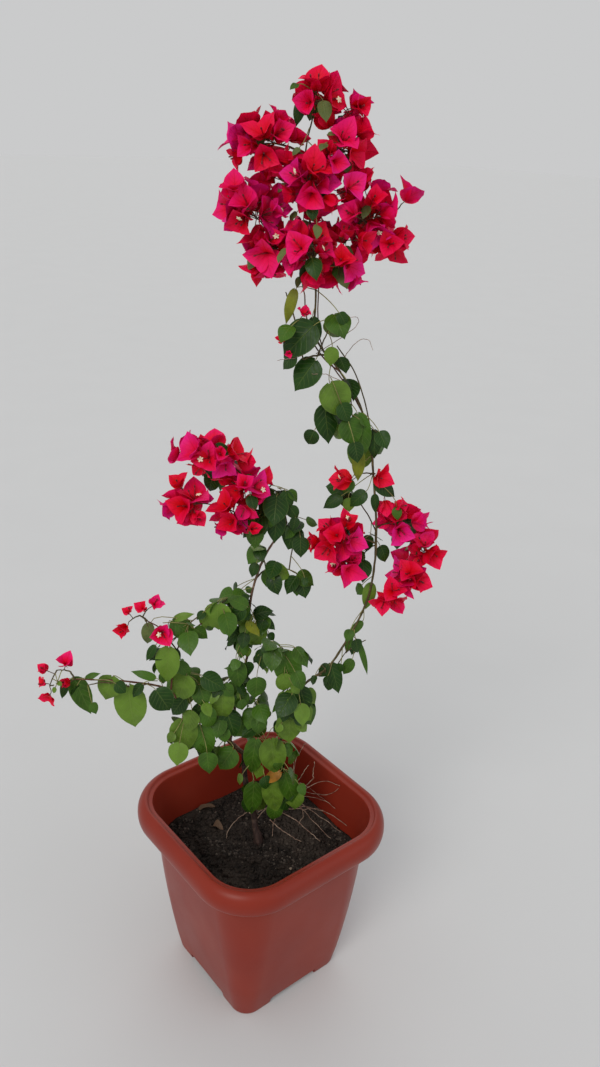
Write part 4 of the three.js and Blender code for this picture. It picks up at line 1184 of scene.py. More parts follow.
def add_star(skins, centre, way):
    """A small open flower: five pale notched lobes round a greenish eye."""
    side = unit(np.cross(way, UP + np.array([0.1, 0.2, 0])))
    top = np.cross(way, side)
    middle, swing, notch = STAR_LOBES
    points = []
    for share, height in STAR_RINGS:
        for k in range(STAR_SPOKES):
            turn = 2 * math.pi * k / STAR_SPOKES
            lobe = middle + swing * math.cos(5 * turn) - notch * max(0, math.cos(10 * turn)) * share
            reach = STAR_WIDTH / 2 * share * (lobe if share > 0.3 else 1)
            out = (side * math.cos(turn) + top * math.sin(turn)) * reach
            points.append(centre + out + way * height * STAR_WIDTH)
    eye = [(STAR_SPOKES, k, (k + 1) % STAR_SPOKES) for k in range(STAR_SPOKES)]
    skins["star_eyes"].add([*points[:STAR_SPOKES], centre], eye)
    skins["star_flowers"].add(points, grid_faces(len(STAR_RINGS), STAR_SPOKES, wrap=True))


def add_flower(skins, base, out, face, size, opened, own):
    """A slender flower on a bract's inner face, with its star open or its tip still shut."""
    shares = np.linspace(0, 1, len(TUBE_RADII))
    low, more = TUBE_LIFT
    line = [base + out * size * TUBE_LENGTH * t + face * size * (low + more * t * t) for t in shares]
    tube(skins["flower_tubes"], line, TUBE_RADII, 6, own)
    way = unit(line[-1] - line[-2])
    if opened:
        way = unit(way + face * STAR_FORWARD)
        add_star(skins, line[-1] + way * 0.6, way)
    else:
        tube(skins["flower_tips"], [line[-1] + way * reach for reach in TIP_REACH], TIP_RADII, 6, own)


def add_bloom(skins, organ, tone, draw):
    size, axis, base = organ["size"] * BLOOM_SIZE, organ["axis"], organ["base"]
    tube(skins["bloom_stalks"], stalk_line(organ), BLOOM_STALK, STALK_SIDES, draw())
    shut = BRACT_TILT - MORE_SHUT + mix(OPENNESS, draw())
    starred = organ.get("starred", draw() < STARRED)
    for i in range(BRACTS):
        turn = organ["turn"] + i * 2 * math.pi / BRACTS + mix(BRACT_SWING, draw())
        out = turned(organ["face"], axis, turn)
        tilt = shut + mix(BRACT_NODS, draw())
        way = axis * math.cos(tilt) + out * math.sin(tilt)
        face = axis * math.sin(tilt) - out * math.cos(tilt)
        length = size * mix(BRACT_SHORTER, draw())
        shape = shape_of(BRACT_RANGES, BRACT_FIXED, draw)
        own = draw()
        twisted = turned(face, way, mix(BRACT_TWIST, draw()))
        width = length * mix(BRACT_BROAD, draw())
        blade(skins[tone], base, way, twisted, length, width, BRACT_OUTLINE, shape, own)
        if draw() < TUBED or starred:
            add_flower(skins, base + way * TUBE_FOOT, way, face, size, starred and i == 0, own)


def pick(names, shares, share):
    for name, part in zip(names, shares):
        share -= part
        if share < 0:
            return name
    return names[0]


# Materials


class Recipe:
    """A Principled material and short ways to wire its nodes."""

    def __init__(self, name, **fixed):
        self.material = bpy.data.materials.new(name)
        self.material.use_nodes = True
        self.tree = self.material.node_tree
        self.shader = self.tree.nodes["Principled BSDF"]
        for key, value in fixed.items():
            self.shader.inputs[key.replace("_", " ")].default_value = value

    def node(self, kind, inputs=(), **settings):
        made = self.tree.nodes.new("ShaderNode" + kind)
        for key, value in settings.items():
            setattr(made, key, value)
        for key, value in dict(inputs).items():
            self.feed(made.inputs[key], value)
        return made

    def feed(self, socket, value):
        if isinstance(value, bpy.types.NodeSocket):
            self.tree.links.new(value, socket)
        else:
            socket.default_value = value

    def math(self, operation, a, b=0.0, c=0.0):
        return self.node("Math", {0: a, 1: b, 2: c}, operation=operation).outputs[0]

    def ramp(self, value, low, high, start=0.0, end=1.0):
        """value carried from low..high to start..end, with smooth ends and no overshoot."""
        inputs = {"Value": value, "From Min": low, "From Max": high, "To Min": start, "To Max": end}
        return self.node("MapRange", inputs, interpolation_type="SMOOTHSTEP").outputs["Result"]

    def blend(self, share, first, second):
        made = self.node("Mix", data_type="RGBA")
        for key, value in (("Factor", share), (6, first), (7, second)):
            self.feed(made.inputs[key], value)
        return made.outputs[2]

    def cloud(self, scale, detail=3.0, where=None, rough=0.5):
        inputs = {"Scale": scale, "Detail": detail, "Roughness": rough, "Vector": where or self.here()}
        return self.node("TexNoise", inputs).outputs["Fac"]

    def here(self):
        return self.node("TexCoord").outputs["Object"]

    def place(self):
        made = self.node("Attribute", attribute_name="place")
        return self.node("SeparateXYZ", {"Vector": made.outputs["Vector"]}).outputs

    def bump(self, height, strength, distance, under=None):
        inputs = {"Height": height, "Strength": strength, "Distance": distance}
        if under is not None:
            inputs["Normal"] = under
        return self.node("Bump", inputs).outputs["Normal"]

    def finish(self, color, rough=None, normal=None):
        """The material, with what is given wired to its shader."""
        for key, value in (("Base Color", color), ("Roughness", rough), ("Normal", normal)):
            if value is not None:
                self.feed(self.shader.inputs[key], value)
        return self.material


def rgb(red, green, blue):
    """A colour from its 0 to 255 parts, as light."""

    def light(part):
        part = part / 255
        return part / 12.92 if part <= 0.04045 else ((part + 0.055) / 1.055) ** 2.4

    return (light(red), light(green), light(blue), 1.0)


def toned(color, share):
    return (*(min(1, part * share) for part in color[:3]), 1.0)


def veins_of(recipe, along, across, count, slant, fine):
    """1 on a blade's midrib and side veins, 0 between them."""
    from_rib = recipe.math("ABSOLUTE", across)
    rib = recipe.ramp(from_rib, 0.0, 0.07, 1.0, 0.0)
    shifted = recipe.math("MULTIPLY_ADD", from_rib, -slant, along)
    beat = recipe.math("FRACT", recipe.math("MULTIPLY", shifted, count))
    off = recipe.math("ABSOLUTE", recipe.math("SUBTRACT", beat, 0.5))
    side = recipe.ramp(off, 0.0, fine, 1.0, 0.0)
    side = recipe.math("MULTIPLY", side, recipe.ramp(from_rib, 0.5, 1.0, 0.75, 0.15))
    return recipe.math("MAXIMUM", rib, side)


def leaf_material(name, base, vein, shine=0.38):
    """Mottled green that differs from leaf to leaf, with a paler edge and veins."""
    recipe = Recipe(name, Specular_IOR_Level=0.22)
    along, across, own = recipe.place()
    veins = veins_of(recipe, along, across, 6.5, 0.3, 0.12)
    color = recipe.blend(recipe.ramp(recipe.cloud(55.0, 4.0), 0.3, 0.7), toned(base, 0.62), base)
    color = recipe.blend(recipe.ramp(own, 0.2, 1.0, 0.0, 0.55), color, toned(base, 1.35))
    color = recipe.blend(recipe.math("MULTIPLY", veins, 0.26), color, vein)
    edge = recipe.ramp(recipe.math("ABSOLUTE", across), 0.9, 1.0, 0.0, 0.22)
    rough = recipe.ramp(recipe.cloud(160.0, 2.0), 0.3, 0.7, shine - 0.06, shine + 0.12)
    relief = recipe.bump(recipe.math("MULTIPLY", veins, -1.0), 0.5, 0.0008)
    relief = recipe.bump(recipe.cloud(420.0, 3.0), 0.25, 0.0005, relief)
    return recipe.finish(recipe.blend(edge, color, vein), rough, relief)


def bract_material(name, heart, rim):
    """Papery red that turns to pink outward, with painted shade darkening its throat, and dark veins."""
    recipe = Recipe(name, Specular_IOR_Level=0.15)
    along, across, own = recipe.place()
    veins = veins_of(recipe, along, across, 5.0, 0.45, 0.1)
    outward = recipe.math("MULTIPLY_ADD", recipe.math("ABSOLUTE", across), 0.5, along)
    wash = recipe.math("MULTIPLY_ADD", recipe.cloud(60.0, 3.0), 0.6, outward)
    wash = recipe.math("MULTIPLY_ADD", own, 0.7, wash)
    color = recipe.blend(recipe.ramp(wash, 0.6, 2.1), heart, rim)
    # Painted shade: each bract darkens towards its foot, in the bloom's throat where the bracts meet.
    color = recipe.blend(recipe.ramp(along, 0.0, 0.3, 0.5, 0.0), color, toned(heart, 0.5))
    color = recipe.blend(recipe.math("MULTIPLY", veins, 0.28), color, toned(heart, 0.5))
    rough = recipe.ramp(recipe.cloud(90.0, 2.0), 0.3, 0.7, 0.5, 0.66)
    relief = recipe.bump(recipe.math("MULTIPLY", veins, -1.0), 0.55, 0.0007)
    return recipe.finish(color, rough, recipe.bump(recipe.cloud(130.0, 4.0), 0.6, 0.0016, relief))


def bark_material(name, base, dark, pale):
    """Streaks along a limb, with pale blots."""
    recipe = Recipe(name, Specular_IOR_Level=0.25)
    along, around, _ = recipe.place()
    circle = recipe.math("MULTIPLY", around, 2 * math.pi)
    where = {
        "X": recipe.math("MULTIPLY", recipe.math("COSINE", circle), 0.01),
        "Y": recipe.math("MULTIPLY", recipe.math("SINE", circle), 0.01),
        "Z": recipe.math("MULTIPLY", along, 0.18),
    }
    streaks = recipe.cloud(260.0, 5.0, recipe.node("CombineXYZ", where).outputs[0], 0.65)
    color = recipe.blend(recipe.ramp(streaks, 0.35, 0.65), dark, base)
    color = recipe.blend(recipe.ramp(recipe.cloud(70.0, 3.0), 0.52, 0.7, 0.0, 0.7), color, pale)
    rough = recipe.ramp(streaks, 0.3, 0.7, 0.85, 0.65)
    return recipe.finish(color, rough, recipe.bump(streaks, 0.8, 0.0012))


def plain_material(name, base, second, scale, low, high, bumpy=0.2):
    """Two colours in soft patches, with a fine grain."""
    recipe = Recipe(name)
    color = recipe.blend(recipe.ramp(recipe.cloud(scale, 4.0), 0.35, 0.65), second, base)
    rough = recipe.ramp(recipe.cloud(scale * 3, 2.0), 0.3, 0.7, low, high)
    return recipe.finish(color, rough, recipe.bump(recipe.cloud(scale * 6, 3.0), bumpy, 0.0006))


def pot_material():
    """Satin plastic with specks, a breath of dust and painted sheen in broad pale patches, and level
    scuffs.
    """
    recipe = Recipe("pot_plastic", Specular_IOR_Level=0.24)
    tint = recipe.ramp(recipe.cloud(7.0, 3.0), 0.3, 0.7)
    color = recipe.blend(tint, rgb(129, 40, 26), rgb(136, 43, 27))
    specks = recipe.ramp(recipe.cloud(900.0, 2.0), 0.66, 0.74, 0.0, 0.4)
    color = recipe.blend(specks, color, rgb(108, 38, 26))
    # Broad pale patches, partly dust and partly painted sheen; they also roughen the surface.
    dust_and_sheen = recipe.math("MULTIPLY", recipe.ramp(recipe.cloud(6.0, 3.0), 0.4, 0.8), 0.05)
    color = recipe.blend(dust_and_sheen, color, rgb(160, 104, 84))
    flattened = recipe.node("Mapping", {"Vector": recipe.here(), "Scale": (1.0, 1.0, 5.0)}).outputs[0]
    scuffs = recipe.ramp(recipe.cloud(120.0, 4.0, flattened, 0.75), 0.7, 0.76, 0.0, 0.55)
    color = recipe.blend(scuffs, color, rgb(214, 176, 160))
    rough = recipe.math("ADD", recipe.ramp(recipe.cloud(9.0, 3.0), 0.3, 0.7, 0.3, 0.38), dust_and_sheen)
    relief = recipe.bump(recipe.cloud(22.0, 2.0), 0.04, 0.003)
    return recipe.finish(color, rough, recipe.bump(recipe.cloud(1400.0, 2.0), 0.12, 0.0004, relief))


def soil_material():
    """Dark crumbly soil with drier, greyer patches and a few bright specks."""
    recipe = Recipe("potting_soil", Specular_IOR_Level=0.2)
    coarse = recipe.cloud(45.0, 6.0, None, 0.7)
    fine = recipe.cloud(400.0, 5.0, None, 0.7)
    color = recipe.blend(recipe.ramp(coarse, 0.38, 0.6), rgb(17, 14, 12), rgb(45, 38, 33))
    dry = recipe.ramp(recipe.cloud(9.0, 4.0), 0.46, 0.62, 0.0, 0.7)
    color = recipe.blend(dry, color, rgb(70, 62, 55))
    color = recipe.blend(recipe.ramp(fine, 0.46, 0.66, 0.0, 0.7), color, rgb(70, 60, 53))
    specks = recipe.node("TexVoronoi", {"Vector": recipe.here(), "Scale": 330.0}).outputs
    bright = recipe.ramp(specks["Distance"], 0.12, 0.2, 1.0, 0.0)
    chosen = recipe.math("MULTIPLY", bright, recipe.ramp(recipe.cloud(90.0, 1.0), 0.62, 0.68))
    color = recipe.blend(chosen, color, rgb(116, 102, 90))
    relief = recipe.bump(fine, 0.9, 0.002, recipe.bump(coarse, 0.9, 0.006))
    return recipe.finish(color, recipe.ramp(fine, 0.2, 0.8, 0.95, 0.8), relief)


def floor_material():
    recipe = Recipe("pale_floor", Specular_IOR_Level=0.2, Roughness=0.8)
    return recipe.finish(recipe.blend(recipe.cloud(3.0, 2.0), rgb(207, 208, 209), rgb(210, 211, 212)))


# Planter


def rounded_square(half, radius, height):
    """Points round a square with round corners, more of them in the corners."""
    arcs = []
    for corner, (side, front) in enumerate(((1, 1), (-1, 1), (-1, -1), (1, -1))):
        turns = [(corner + step / CORNER_STEPS) * math.pi / 2 for step in range(CORNER_STEPS + 1)]
        x, y = side * (half - radius), front * (half - radius)
        arcs.append([np.array((x + radius * math.cos(t), y + radius * math.sin(t), height)) for t in turns])
    ring = []
    for arc, following in zip(arcs, arcs[1:] + arcs[:1]):
        side = following[0] - arc[-1]
        ring += [*arc, *(arc[-1] + side * i / SIDE_STEPS for i in range(1, SIDE_STEPS))]
    return ring


def body_half(height):
    share = height / BODY_TOP
    straight = mix((FOOT_WIDTH / 2, RIM_WIDTH / 2 - RIM_OVERHANG), share)
    return straight + BULGE * 4 * share * (1 - share)


def body_corner(height):
    return mix((FOOT_CORNER, BODY_CORNER), height / BODY_TOP)


def body_ring(height, inward=0.0):
    return rounded_square(body_half(height) - inward, body_corner(height) - inward, height)


def rim_ring(inward, up):
    return rounded_square(RIM_WIDTH / 2 - inward, RIM_CORNER - inward, BODY_TOP + up)


def rounded_box(low, high, radius):
    """A box with its edges rounded, to cut the foot's arches with."""
    mesh = bpy.data.meshes.new("cutter")
    corners = [(x, y, z) for x in (low[0], high[0]) for y in (low[1], high[1]) for z in (low[2], high[2])]
    faces = [(0, 1, 3, 2), (4, 6, 7, 5), (0, 4, 5, 1), (2, 3, 7, 6), (0, 2, 6, 4), (1, 5, 7, 3)]
    mesh.from_pydata([tuple(c * MM for c in corner) for corner in corners], [], faces)
    cutter = linked("cutter", mesh)
    bevel = cutter.modifiers.new("round", "BEVEL")
    bevel.width = radius * MM
    bevel.segments = 4
    return cutter


def cut_from(piece, cutters):
    """Cuts the cutters out of a piece and removes them."""
    for cutter in cutters:
        cut = piece.modifiers.new("cut", "BOOLEAN")
        cut.object = cutter
        cut.solver = "EXACT"
    bpy.context.view_layer.update()
    done = bpy.data.meshes.new_from_object(piece.evaluated_get(bpy.context.evaluated_depsgraph_get()))
    piece.modifiers.clear()
    piece.data = done
    for cutter in cutters:
        bpy.data.objects.remove(cutter)


def arch_cutters():
    """The four passages between the planter's feet and its pad."""
    gap, pad, reach, low = FEET_APART / 2, PAD_WIDTH / 2, FOOT_WIDTH, -12
    boxes = (
        ((pad, -gap, low), (reach, gap, FEET_HEIGHT)),
        ((-reach, -gap, low), (-pad, gap, FEET_HEIGHT)),
        ((-gap, pad, low), (gap, reach, FEET_HEIGHT)),
        ((-gap, -reach, low), (gap, -pad, FEET_HEIGHT)),
    )
    return [rounded_box(*box, ARCH_ROUND) for box in boxes]


def make_pot():
    rings = [
        *(rounded_square(body_half(0) - inward, FOOT_CORNER - inward, up) for inward, up in FOOT_ROUND),
        *(body_ring(height) for height in BODY_LEVELS),
        *(rim_ring(inward, up) for inward, up in (*RIM_UNDER, *RIM_ROUND, *LIP)),
        *(body_ring(height, WALL) for height in (*reversed(BODY_LEVELS), FEET_HEIGHT + WALL)),
    ]
    skin = Skin()
    skin.add(np.vstack(rings), closed_faces(len(rings), len(rings[0])))
    pot = skin.piece("planter", pot_material(), "pot_plastic", ["pot"], turn=False)
    cut_from(pot, arch_cutters())
    pot.data.shade_smooth()
    pot.data.set_sharp_from_angle(angle=math.radians(POT_SHARP))


# Soil

ICO = (1 + math.sqrt(5)) / 2
ICO_POINTS = np.array([
    (-1, ICO, 0), (1, ICO, 0), (-1, -ICO, 0), (1, -ICO, 0), (0, -1, ICO), (0, 1, ICO),
    (0, -1, -ICO), (0, 1, -ICO), (ICO, 0, -1), (ICO, 0, 1), (-ICO, 0, -1), (-ICO, 0, 1),
]) / math.sqrt(1 + ICO * ICO)
ICO_FACES = (
    (0, 11, 5), (0, 5, 1), (0, 1, 7), (0, 7, 10), (0, 10, 11), (1, 5, 9), (5, 11, 4), (11, 10, 2),
    (10, 7, 6), (7, 1, 8), (3, 9, 4), (3, 4, 2), (3, 2, 6), (3, 6, 8), (3, 8, 9), (4, 9, 5),
    (2, 4, 11), (6, 2, 10), (8, 6, 7), (9, 8, 1),
)


def soil_height(x, y):
    """How far the soil swells over its level at a point of the planter."""
    here = Vector((x * 0.02, y * 0.02, 0.3))
    return sum(noise.noise(here * rate) * height for rate, height in SWELLS)


def make_soil(material):
    """The bed: its swelling top, ring by ring, then its sides down to the planter's floor."""
    top = body_half(SOIL_TOP) - WALL - SOIL_GAPS[0]
    corner = body_corner(SOIL_TOP) - WALL
    points = []
    for r in range(SOIL_RINGS + 1):
        share = max(r / SOIL_RINGS, 0.004)
        ring = rounded_square(top * share, corner * share, 0)
        points += [(x, y, SOIL_TOP + (soil_height(x, y) - SOIL_LOW)) for x, y, _ in ring]
    for depth in SOIL_DEPTHS:
        points += rounded_square(body_half(depth) - WALL - SOIL_GAPS[1], body_corner(depth) - WALL, depth)
    rows = SOIL_RINGS + 1 + len(SOIL_DEPTHS)
    skin = Skin()
    skin.add(points, closed_faces(rows, len(points) // rows))
    skin.piece("soil_bed", material, "potting_soil", ["soil"], turn=False)


def lump(skin, centre, size, squash, draw):
    """A rough crumb or stone."""
    flat = np.array([1, 1, squash])
    points = [centre + p * size / 2 * mix(LUMP_ROUGH, draw()) * flat for p in ICO_POINTS]
    skin.add(points, ICO_FACES)


def scatter(skin, count, sizes, squash, seed, patchy=-1.0):
    """Lumps over the soil; patchy is how strong a slow noise must be where one lies."""
    draw = draws(seed)
    inner = body_half(SOIL_TOP) - WALL - 1
    corner = body_corner(SOIL_TOP) - WALL
    for _ in range(count):
        x, y = (2 * draw() - 1) * inner, (2 * draw() - 1) * inner
        size = mix(sizes, draw() ** SMALL_LUMPS)
        past = np.maximum(np.abs([x, y]) - inner + corner, 0)
        outside = np.linalg.norm(past) > corner - size * 0.7
        if outside or noise.noise(Vector((x * 0.014, y * 0.014, seed))) < patchy:
            continue
        z = SOIL_TOP - SOIL_LOW + soil_height(x, y)
        lump(skin, np.array((x, y, z + size * LUMP_BEDDED)), size, squash, draw)


def clods_of_crumbs(skin, count, sizes, seed):
    """Larger clods, each a heap of crumbs, over the soil clear of its edge and of the trunk."""
    draw = draws(seed)
    inner = (body_half(SOIL_TOP) - WALL) * CLOD_AREA
    for _ in range(count):
        x, y = (2 * draw() - 1) * inner, (2 * draw() - 1) * inner
        size = mix(sizes, draw() ** SMALL_CLODS)
        if math.hypot(x, y) < size + TRUNK_ROOM:
            continue
        middle = np.array((x, y, SOIL_TOP + soil_height(x, y)))
        for _ in range(CLOD_CRUMBS):
            out = unit(np.array([2 * draw() - 1, 2 * draw() - 1, 1.4 * draw() - 0.4]))
            spot = middle + out * size * mix(CLOD_REACH, draw()) * np.array([1, 1, CLOD_FLAT])
            lump(skin, spot, size * mix(CLOD_CRUMB, draw()), LUMP_FLAT, draw)


def on_soil(u, v, above):
    """The point over the soil's surface at a place of the plant's frame."""
    x, y, _ = np.array((u, v, 0)) @ TO_PART
    return np.array((u, v, SOIL_TOP + soil_height(x, y) + above))


def make_dead_leaves():
    skin = Skin()
    draw = draws(DEAD_LEAF_SEED)
    for start, end, width in DEAD_LEAVES:
        base, tip = (on_soil(*spot, lift) for spot, lift in zip((start, end), DEAD_LEAF_LIFT))
        length = np.linalg.norm(tip - base)
        axis = (tip - base) / length
        shape = {**shape_of(LEAF_RANGES, LEAF_FIXED, draw), **DEAD_LEAF_SHAPE}
        blade(skin, base, axis, unit(UP - axis * axis[2]), length, width, LEAF_OUTLINE, shape, draw())
    material = leaf_material("dead_leaf", rgb(92, 72, 56), rgb(122, 100, 80), 0.7)
    skin.piece("dead_leaves", material, "dry_twig")


def make_lumps(soil):
    """Crumbs and clods, the drier crumbs, and pale bits with one stone."""
    crumbs, clods, pale = Skin(), Skin(), Skin()
    for row in CRUMBS:
        scatter(crumbs, *row)
    clods_of_crumbs(crumbs, *CLODS)
    crumbs.piece("soil_crumbs", soil, "potting_soil", (), turn=False)
    scatter(clods, *DRY_CRUMBS)
    brown = plain_material("clod_brown", rgb(82, 72, 63), rgb(42, 36, 31), 150.0, 0.85, 0.95, 0.6)
    clods.piece("soil_clods", brown, "potting_soil", (), turn=False)
    make_dead_leaves()
    scatter(pale, *PALE_BITS)
    u, v, size, seed = PALE_STONE
    lump(pale, on_soil(u, v, 1) @ TO_PART, size, LUMP_FLAT, draws(seed))
    stone = plain_material("pale_stone", rgb(176, 160, 142), rgb(128, 112, 98), 120.0, 0.7, 0.85, 0.4)
    pale.piece("pale_bits", stone, "potting_soil", (), turn=False)


# Limbs, twigs and strands


def limb_relief(name):
    """Small swellings and hollows round a limb, with a fuller ring at each node."""
    offset = len(name) * 3.7

    def relief(i, turn):
        around = Vector((math.cos(turn) * 1.1, math.sin(turn) * 1.1, i * 0.35 + offset))
        node = max(0, 1 - abs(i % NODE_ROWS - NODE_ROWS // 2) / NODE_WIDTH) * NODE_HEIGHT
        return noise.noise(around) * BARK_SWELLS + noise.noise(around * 3.1) * BARK_RIDGES + node

    return relief


def make_limb(name, material):
    parent, thick, points = LIMBS[name]
    rough = smooth_line(points, 60)
    length = np.linalg.norm(np.diff(rough, axis=0), axis=1).sum()
    count = max(FEWEST_ROWS, int(length / LIMB_ROW))
    along = np.linspace(0, 1, count + 1)
    radii = mix(thick, along) / 2
    rows = np.arange(count + 1)
    sway = np.array([noise.noise_vector(Vector((i * SWAY_RATE, len(name), 0.5))) for i in rows])
    fade = np.minimum(1, np.minimum(rows, count - rows) / SWAY_FADE)
    line = smooth_line(points, count) + sway * fade[:, None] * np.minimum(MOST_SWAY, radii[:, None] * SWAY)
    if parent is None:
        radii = radii + FLARE / 2 * np.maximum(0, 1 - along / FLARE_LENGTH) ** 2
        line[0][2] -= TRUNK_SUNK
    skin = Skin()
    tube(skin, line, radii, LIMB_SIDES, relief=limb_relief(name))
    skin.piece("bark_" + name, material, "bark", [name])


def wander(line, size, seed):
    """A line with small kinks, held at its foot."""
    kinks = [noise.noise_vector(Vector((i * KINK_RATE, seed * 7.3, 2.1))) for i in range(len(line))]
    held = np.minimum(1, np.arange(len(line)) / KINKS_FROM)
    return line + np.array(kinks) * size * held[:, None]


def make_strands(name, table, thick, sides, size, material, slot, replaces=()):
    skin = Skin()
    for n, points in enumerate(table):
        line = wander(smooth_line(points, STRAND_STEPS), size, n)
        tube(skin, line, thick, sides, n / len(table))
    skin.piece(name, material, slot, replaces)


def dress(skins, name, ways, organs, draw, seed):
    """Adds a mass's twigs, leaves and blooms to the skins of their kinds and tones."""
    tones = MASSES[name].tones
    for w, way in enumerate(way for way in ways if way):
        line = wander(twig_line(way, TWIG_POINTS), TWIG_WANDER, seed + w)
        tube(skins["fine_twigs"], line, SIDE_TWIG if w else STEM_TWIG, 7, draw())
    for organ in organs:
        if organ["kind"] == "leaf":
            tone = organ.get("tone", pick(LEAF_TONES, TONE_SHARES[tones], draw()))
            add_leaf(skins, organ, tone, LEAF_BROAD[tones], SMALLER_LEAVES.get(name, 1), draw)
        else:
            tone = organ.get("tone", pick(BRACT_TONES, BRACT_SHARES, draw()))
            add_bloom(skins, organ, tone, draw)


def make_plant():
    skins = {name: Skin() for name in (*LEAF_TONES, *BRACT_TONES, *FINE_PARTS)}
    ways = {name: twig_ways(name) for name in MASSES}
    grown = {}
    for name in MASSES:
        strange = [stretch for other in MASSES if other != name for stretch in stretches(ways[other])]
        grown[name] = grow(name, ways[name], strange)
    add_finer(ways, grown)
    for n, name in enumerate(MASSES):
        dress(skins, name, ways[name], grown[name], draws(PLANT_SEED + n), n * 10)
    return skins


# Colours, and the pieces made with them

BARKS = {
    name: bark_material(name, *(rgb(*color) for color in colors))
    for name, colors in {
        "green_bark": ((96, 84, 52), (62, 54, 34), (130, 112, 80)),
        "brown_bark": ((122, 92, 74), (70, 50, 40), (164, 136, 116)),
        "trunk_bark": ((66, 48, 43), (34, 25, 23), (94, 76, 66)),
        "red_bark": ((112, 68, 50), (66, 40, 30), (140, 108, 80)),
    }.items()
}
LIMB_BARKS = {
    "trunk": "trunk_bark",
    **dict.fromkeys(("left_bough", "front_stem", "centre_stem"), "brown_bark"),
    **dict.fromkeys(("left_shoot", "left_arch", "left_spray"), "red_bark"),
}
# leaves_dark and leaves_bright are partly shaded and lit copies of the green, painted shade and painted
# light, beside the leaves' own differences of tone.
LEAF_COLORS = {
    "leaves_mid": (60, 95, 22),
    "leaves_dark": (30, 62, 12),
    "leaves_bright": (94, 124, 40),
    "leaves_young": (100, 114, 64),
    "leaves_yellow": (124, 130, 32),
    "leaves_turning": (158, 104, 26),
}
LEAF_VEIN = (116, 136, 64)
BRACT_COLORS = {
    "bracts_crimson": ((220, 2, 20), (234, 10, 78)),
    "bracts_rose": ((226, 3, 38), (236, 20, 112)),
    "bracts_magenta": ((226, 4, 58), (232, 28, 136)),
}
# Each fine part's material, with two colours, the scale of their patches and the roughness, and its slot.
# The twigs have the young limbs' bark.
FINE_PARTS = {
    "leaf_stalks": ("stalk_green", (138, 140, 74), (110, 98, 54), 60.0, (0.5, 0.65), "leaf"),
    "bloom_stalks": ("stalk_brown", (92, 60, 44), (70, 62, 36), 60.0, (0.55, 0.7), "bract"),
    "fine_twigs": None,
    "flower_tubes": ("tube_red", (168, 16, 44), (128, 18, 36), 120.0, (0.5, 0.65), "bract"),
    "flower_tips": ("tip_dark", (126, 18, 38), (92, 22, 32), 150.0, (0.5, 0.65), "bract"),
    "star_flowers": ("cream", (246, 238, 214), (236, 226, 190), 300.0, (0.5, 0.65), "bract"),
    "star_eyes": ("eye_green", (196, 190, 96), (150, 160, 70), 300.0, (0.5, 0.65), "bract"),
}

for limb in LIMBS:
    make_limb(limb, BARKS[LIMB_BARKS.get(limb, "green_bark")])

skins = make_plant()
leaf_nodes = [name for name in MASSES if name.endswith("leaves")]
bloom_nodes = [name for name in MASSES if name.endswith("blooms")]
for name, color in LEAF_COLORS.items():
    material = leaf_material(name, rgb(*color), rgb(*LEAF_VEIN))
    skins[name].piece(name, material, "leaf", leaf_nodes if name == "leaves_mid" else ())
for name, (heart, rim) in BRACT_COLORS.items():
    material = bract_material(name, rgb(*heart), rgb(*rim))
    skins[name].piece(name, material, "bract", bloom_nodes if name == "bracts_crimson" else ())
for name, look in FINE_PARTS.items():
    if look is None:
        skins[name].piece(name, BARKS["green_bark"], "bark")
        continue
    label, base, second, scale, rough, slot = look
    skins[name].piece(name, plain_material(label, rgb(*base), rgb(*second), scale, *rough), slot)

dry = plain_material("dry_stem", rgb(176, 152, 132), rgb(116, 86, 72), 80.0, 0.7, 0.85, 0.5)
make_strands("dry_stems", DRY_TWIGS, (1.05, 0.5), 6, 2.6, dry, "dry_twig", ["dry_twigs"])
make_strands("old_tendrils", TENDRILS, (0.7, 0.4), 5, 1.5, dry, "dry_twig")
make_strands("thin_stems", THIN_STEMS, (1.3, 1), 7, 1.6, BARKS["red_bark"], "bark")

make_pot()
soil = soil_material()
make_soil(soil)
make_lumps(soil)

# Floor, light and camera

FLOOR_HALF = 40
SKY = (0.91, 0.915, 0.92, 1)
SKY_STRENGTH = 0.65
CAMERA_BACK = 1.4556
CAMERA_HEIGHT = 1.6783
CAMERA_YAW = 0.0375
CAMERA_PITCH = 0.4247
CAMERA_ROLL = 0.0465
VIEW_TURN = -0.6573
PICTURE_HEIGHT = 1067
FOCUS = 900.0
SENSOR = 36

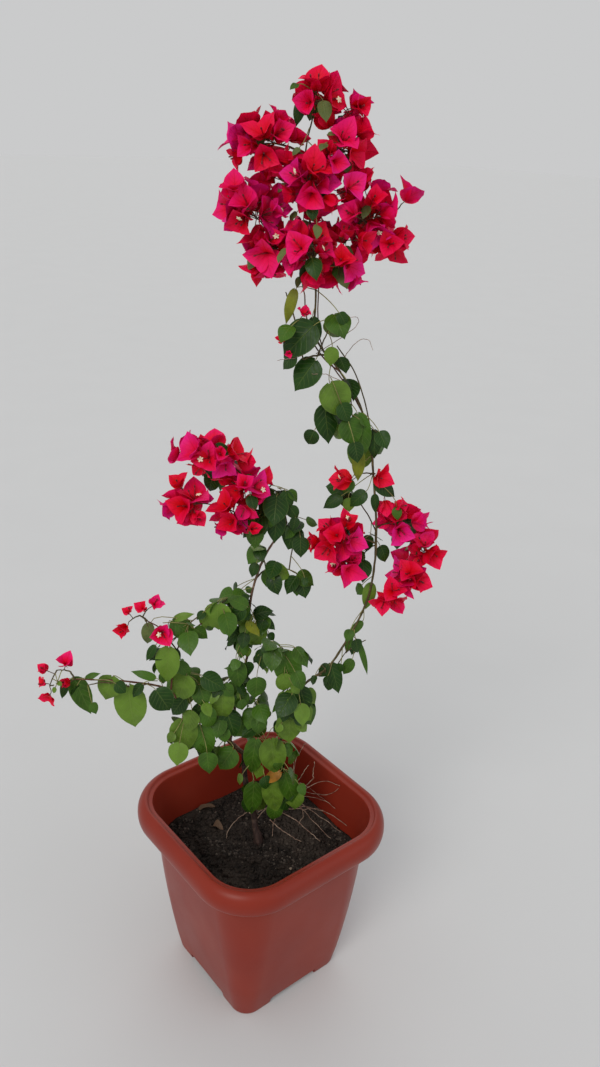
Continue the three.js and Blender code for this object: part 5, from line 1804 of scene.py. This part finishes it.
floor_mesh = bpy.data.meshes.new("floor")
floor_corners = [(x * FLOOR_HALF, y * FLOOR_HALF, 0) for x, y in ((-1, -1), (1, -1), (1, 1), (-1, 1))]
floor_mesh.from_pydata(floor_corners, [], [(0, 1, 2, 3)])
floor_mesh.materials.append(floor_material())
floor = linked("floor", floor_mesh)

world = bpy.data.worlds.new("studio")
bpy.context.scene.world = world
world.use_nodes = True
world.node_tree.nodes["Background"].inputs["Color"].default_value = SKY
world.node_tree.nodes["Background"].inputs["Strength"].default_value = SKY_STRENGTH
bpy.context.scene.view_settings.view_transform = "Standard"


def sun(name, place, strength, spread, color):
    """A soft light from far away, from the side of a place as seen from the bush."""
    data = bpy.data.lights.new(name, "SUN")
    data.energy = strength
    data.angle = spread
    data.color = color
    lamp = linked(name, data)
    lamp.rotation_mode = "QUATERNION"
    lamp.rotation_quaternion = (-Vector(place)).to_track_quat("-Z", "Y")


sun("key", (-2.6, -1.2, 2.3), 1.15, 0.5, (1, 0.97, 0.92))
sun("fill", (1.2, -3.0, 1.1), 0.25, 0.9, (0.93, 0.96, 1))
sun("back", (1.6, 2.4, 1.9), 0.3, 0.9, (1, 0.98, 0.95))

camera_data = bpy.data.cameras.new("camera")
camera_data.sensor_width = SENSOR
camera_data.lens = SENSOR * FOCUS / PICTURE_HEIGHT
camera = linked("camera", camera_data)
level = math.cos(CAMERA_PITCH)
ahead = Vector((math.sin(CAMERA_YAW) * level, math.cos(CAMERA_YAW) * level, -math.sin(CAMERA_PITCH)))
right = Vector((math.cos(CAMERA_YAW), -math.sin(CAMERA_YAW), 0))
above = right.cross(ahead)
leaned_right = right * math.cos(CAMERA_ROLL) + above * math.sin(CAMERA_ROLL)
leaned_above = above * math.cos(CAMERA_ROLL) - right * math.sin(CAMERA_ROLL)
axes = Matrix((leaned_right, leaned_above, -ahead)).transposed().to_4x4()
camera_place = Matrix.Translation((0, -CAMERA_BACK, CAMERA_HEIGHT)) @ axes
camera.matrix_world = Matrix.Rotation(VIEW_TURN, 4, "Z") @ camera_place
bpy.context.scene.camera = camera
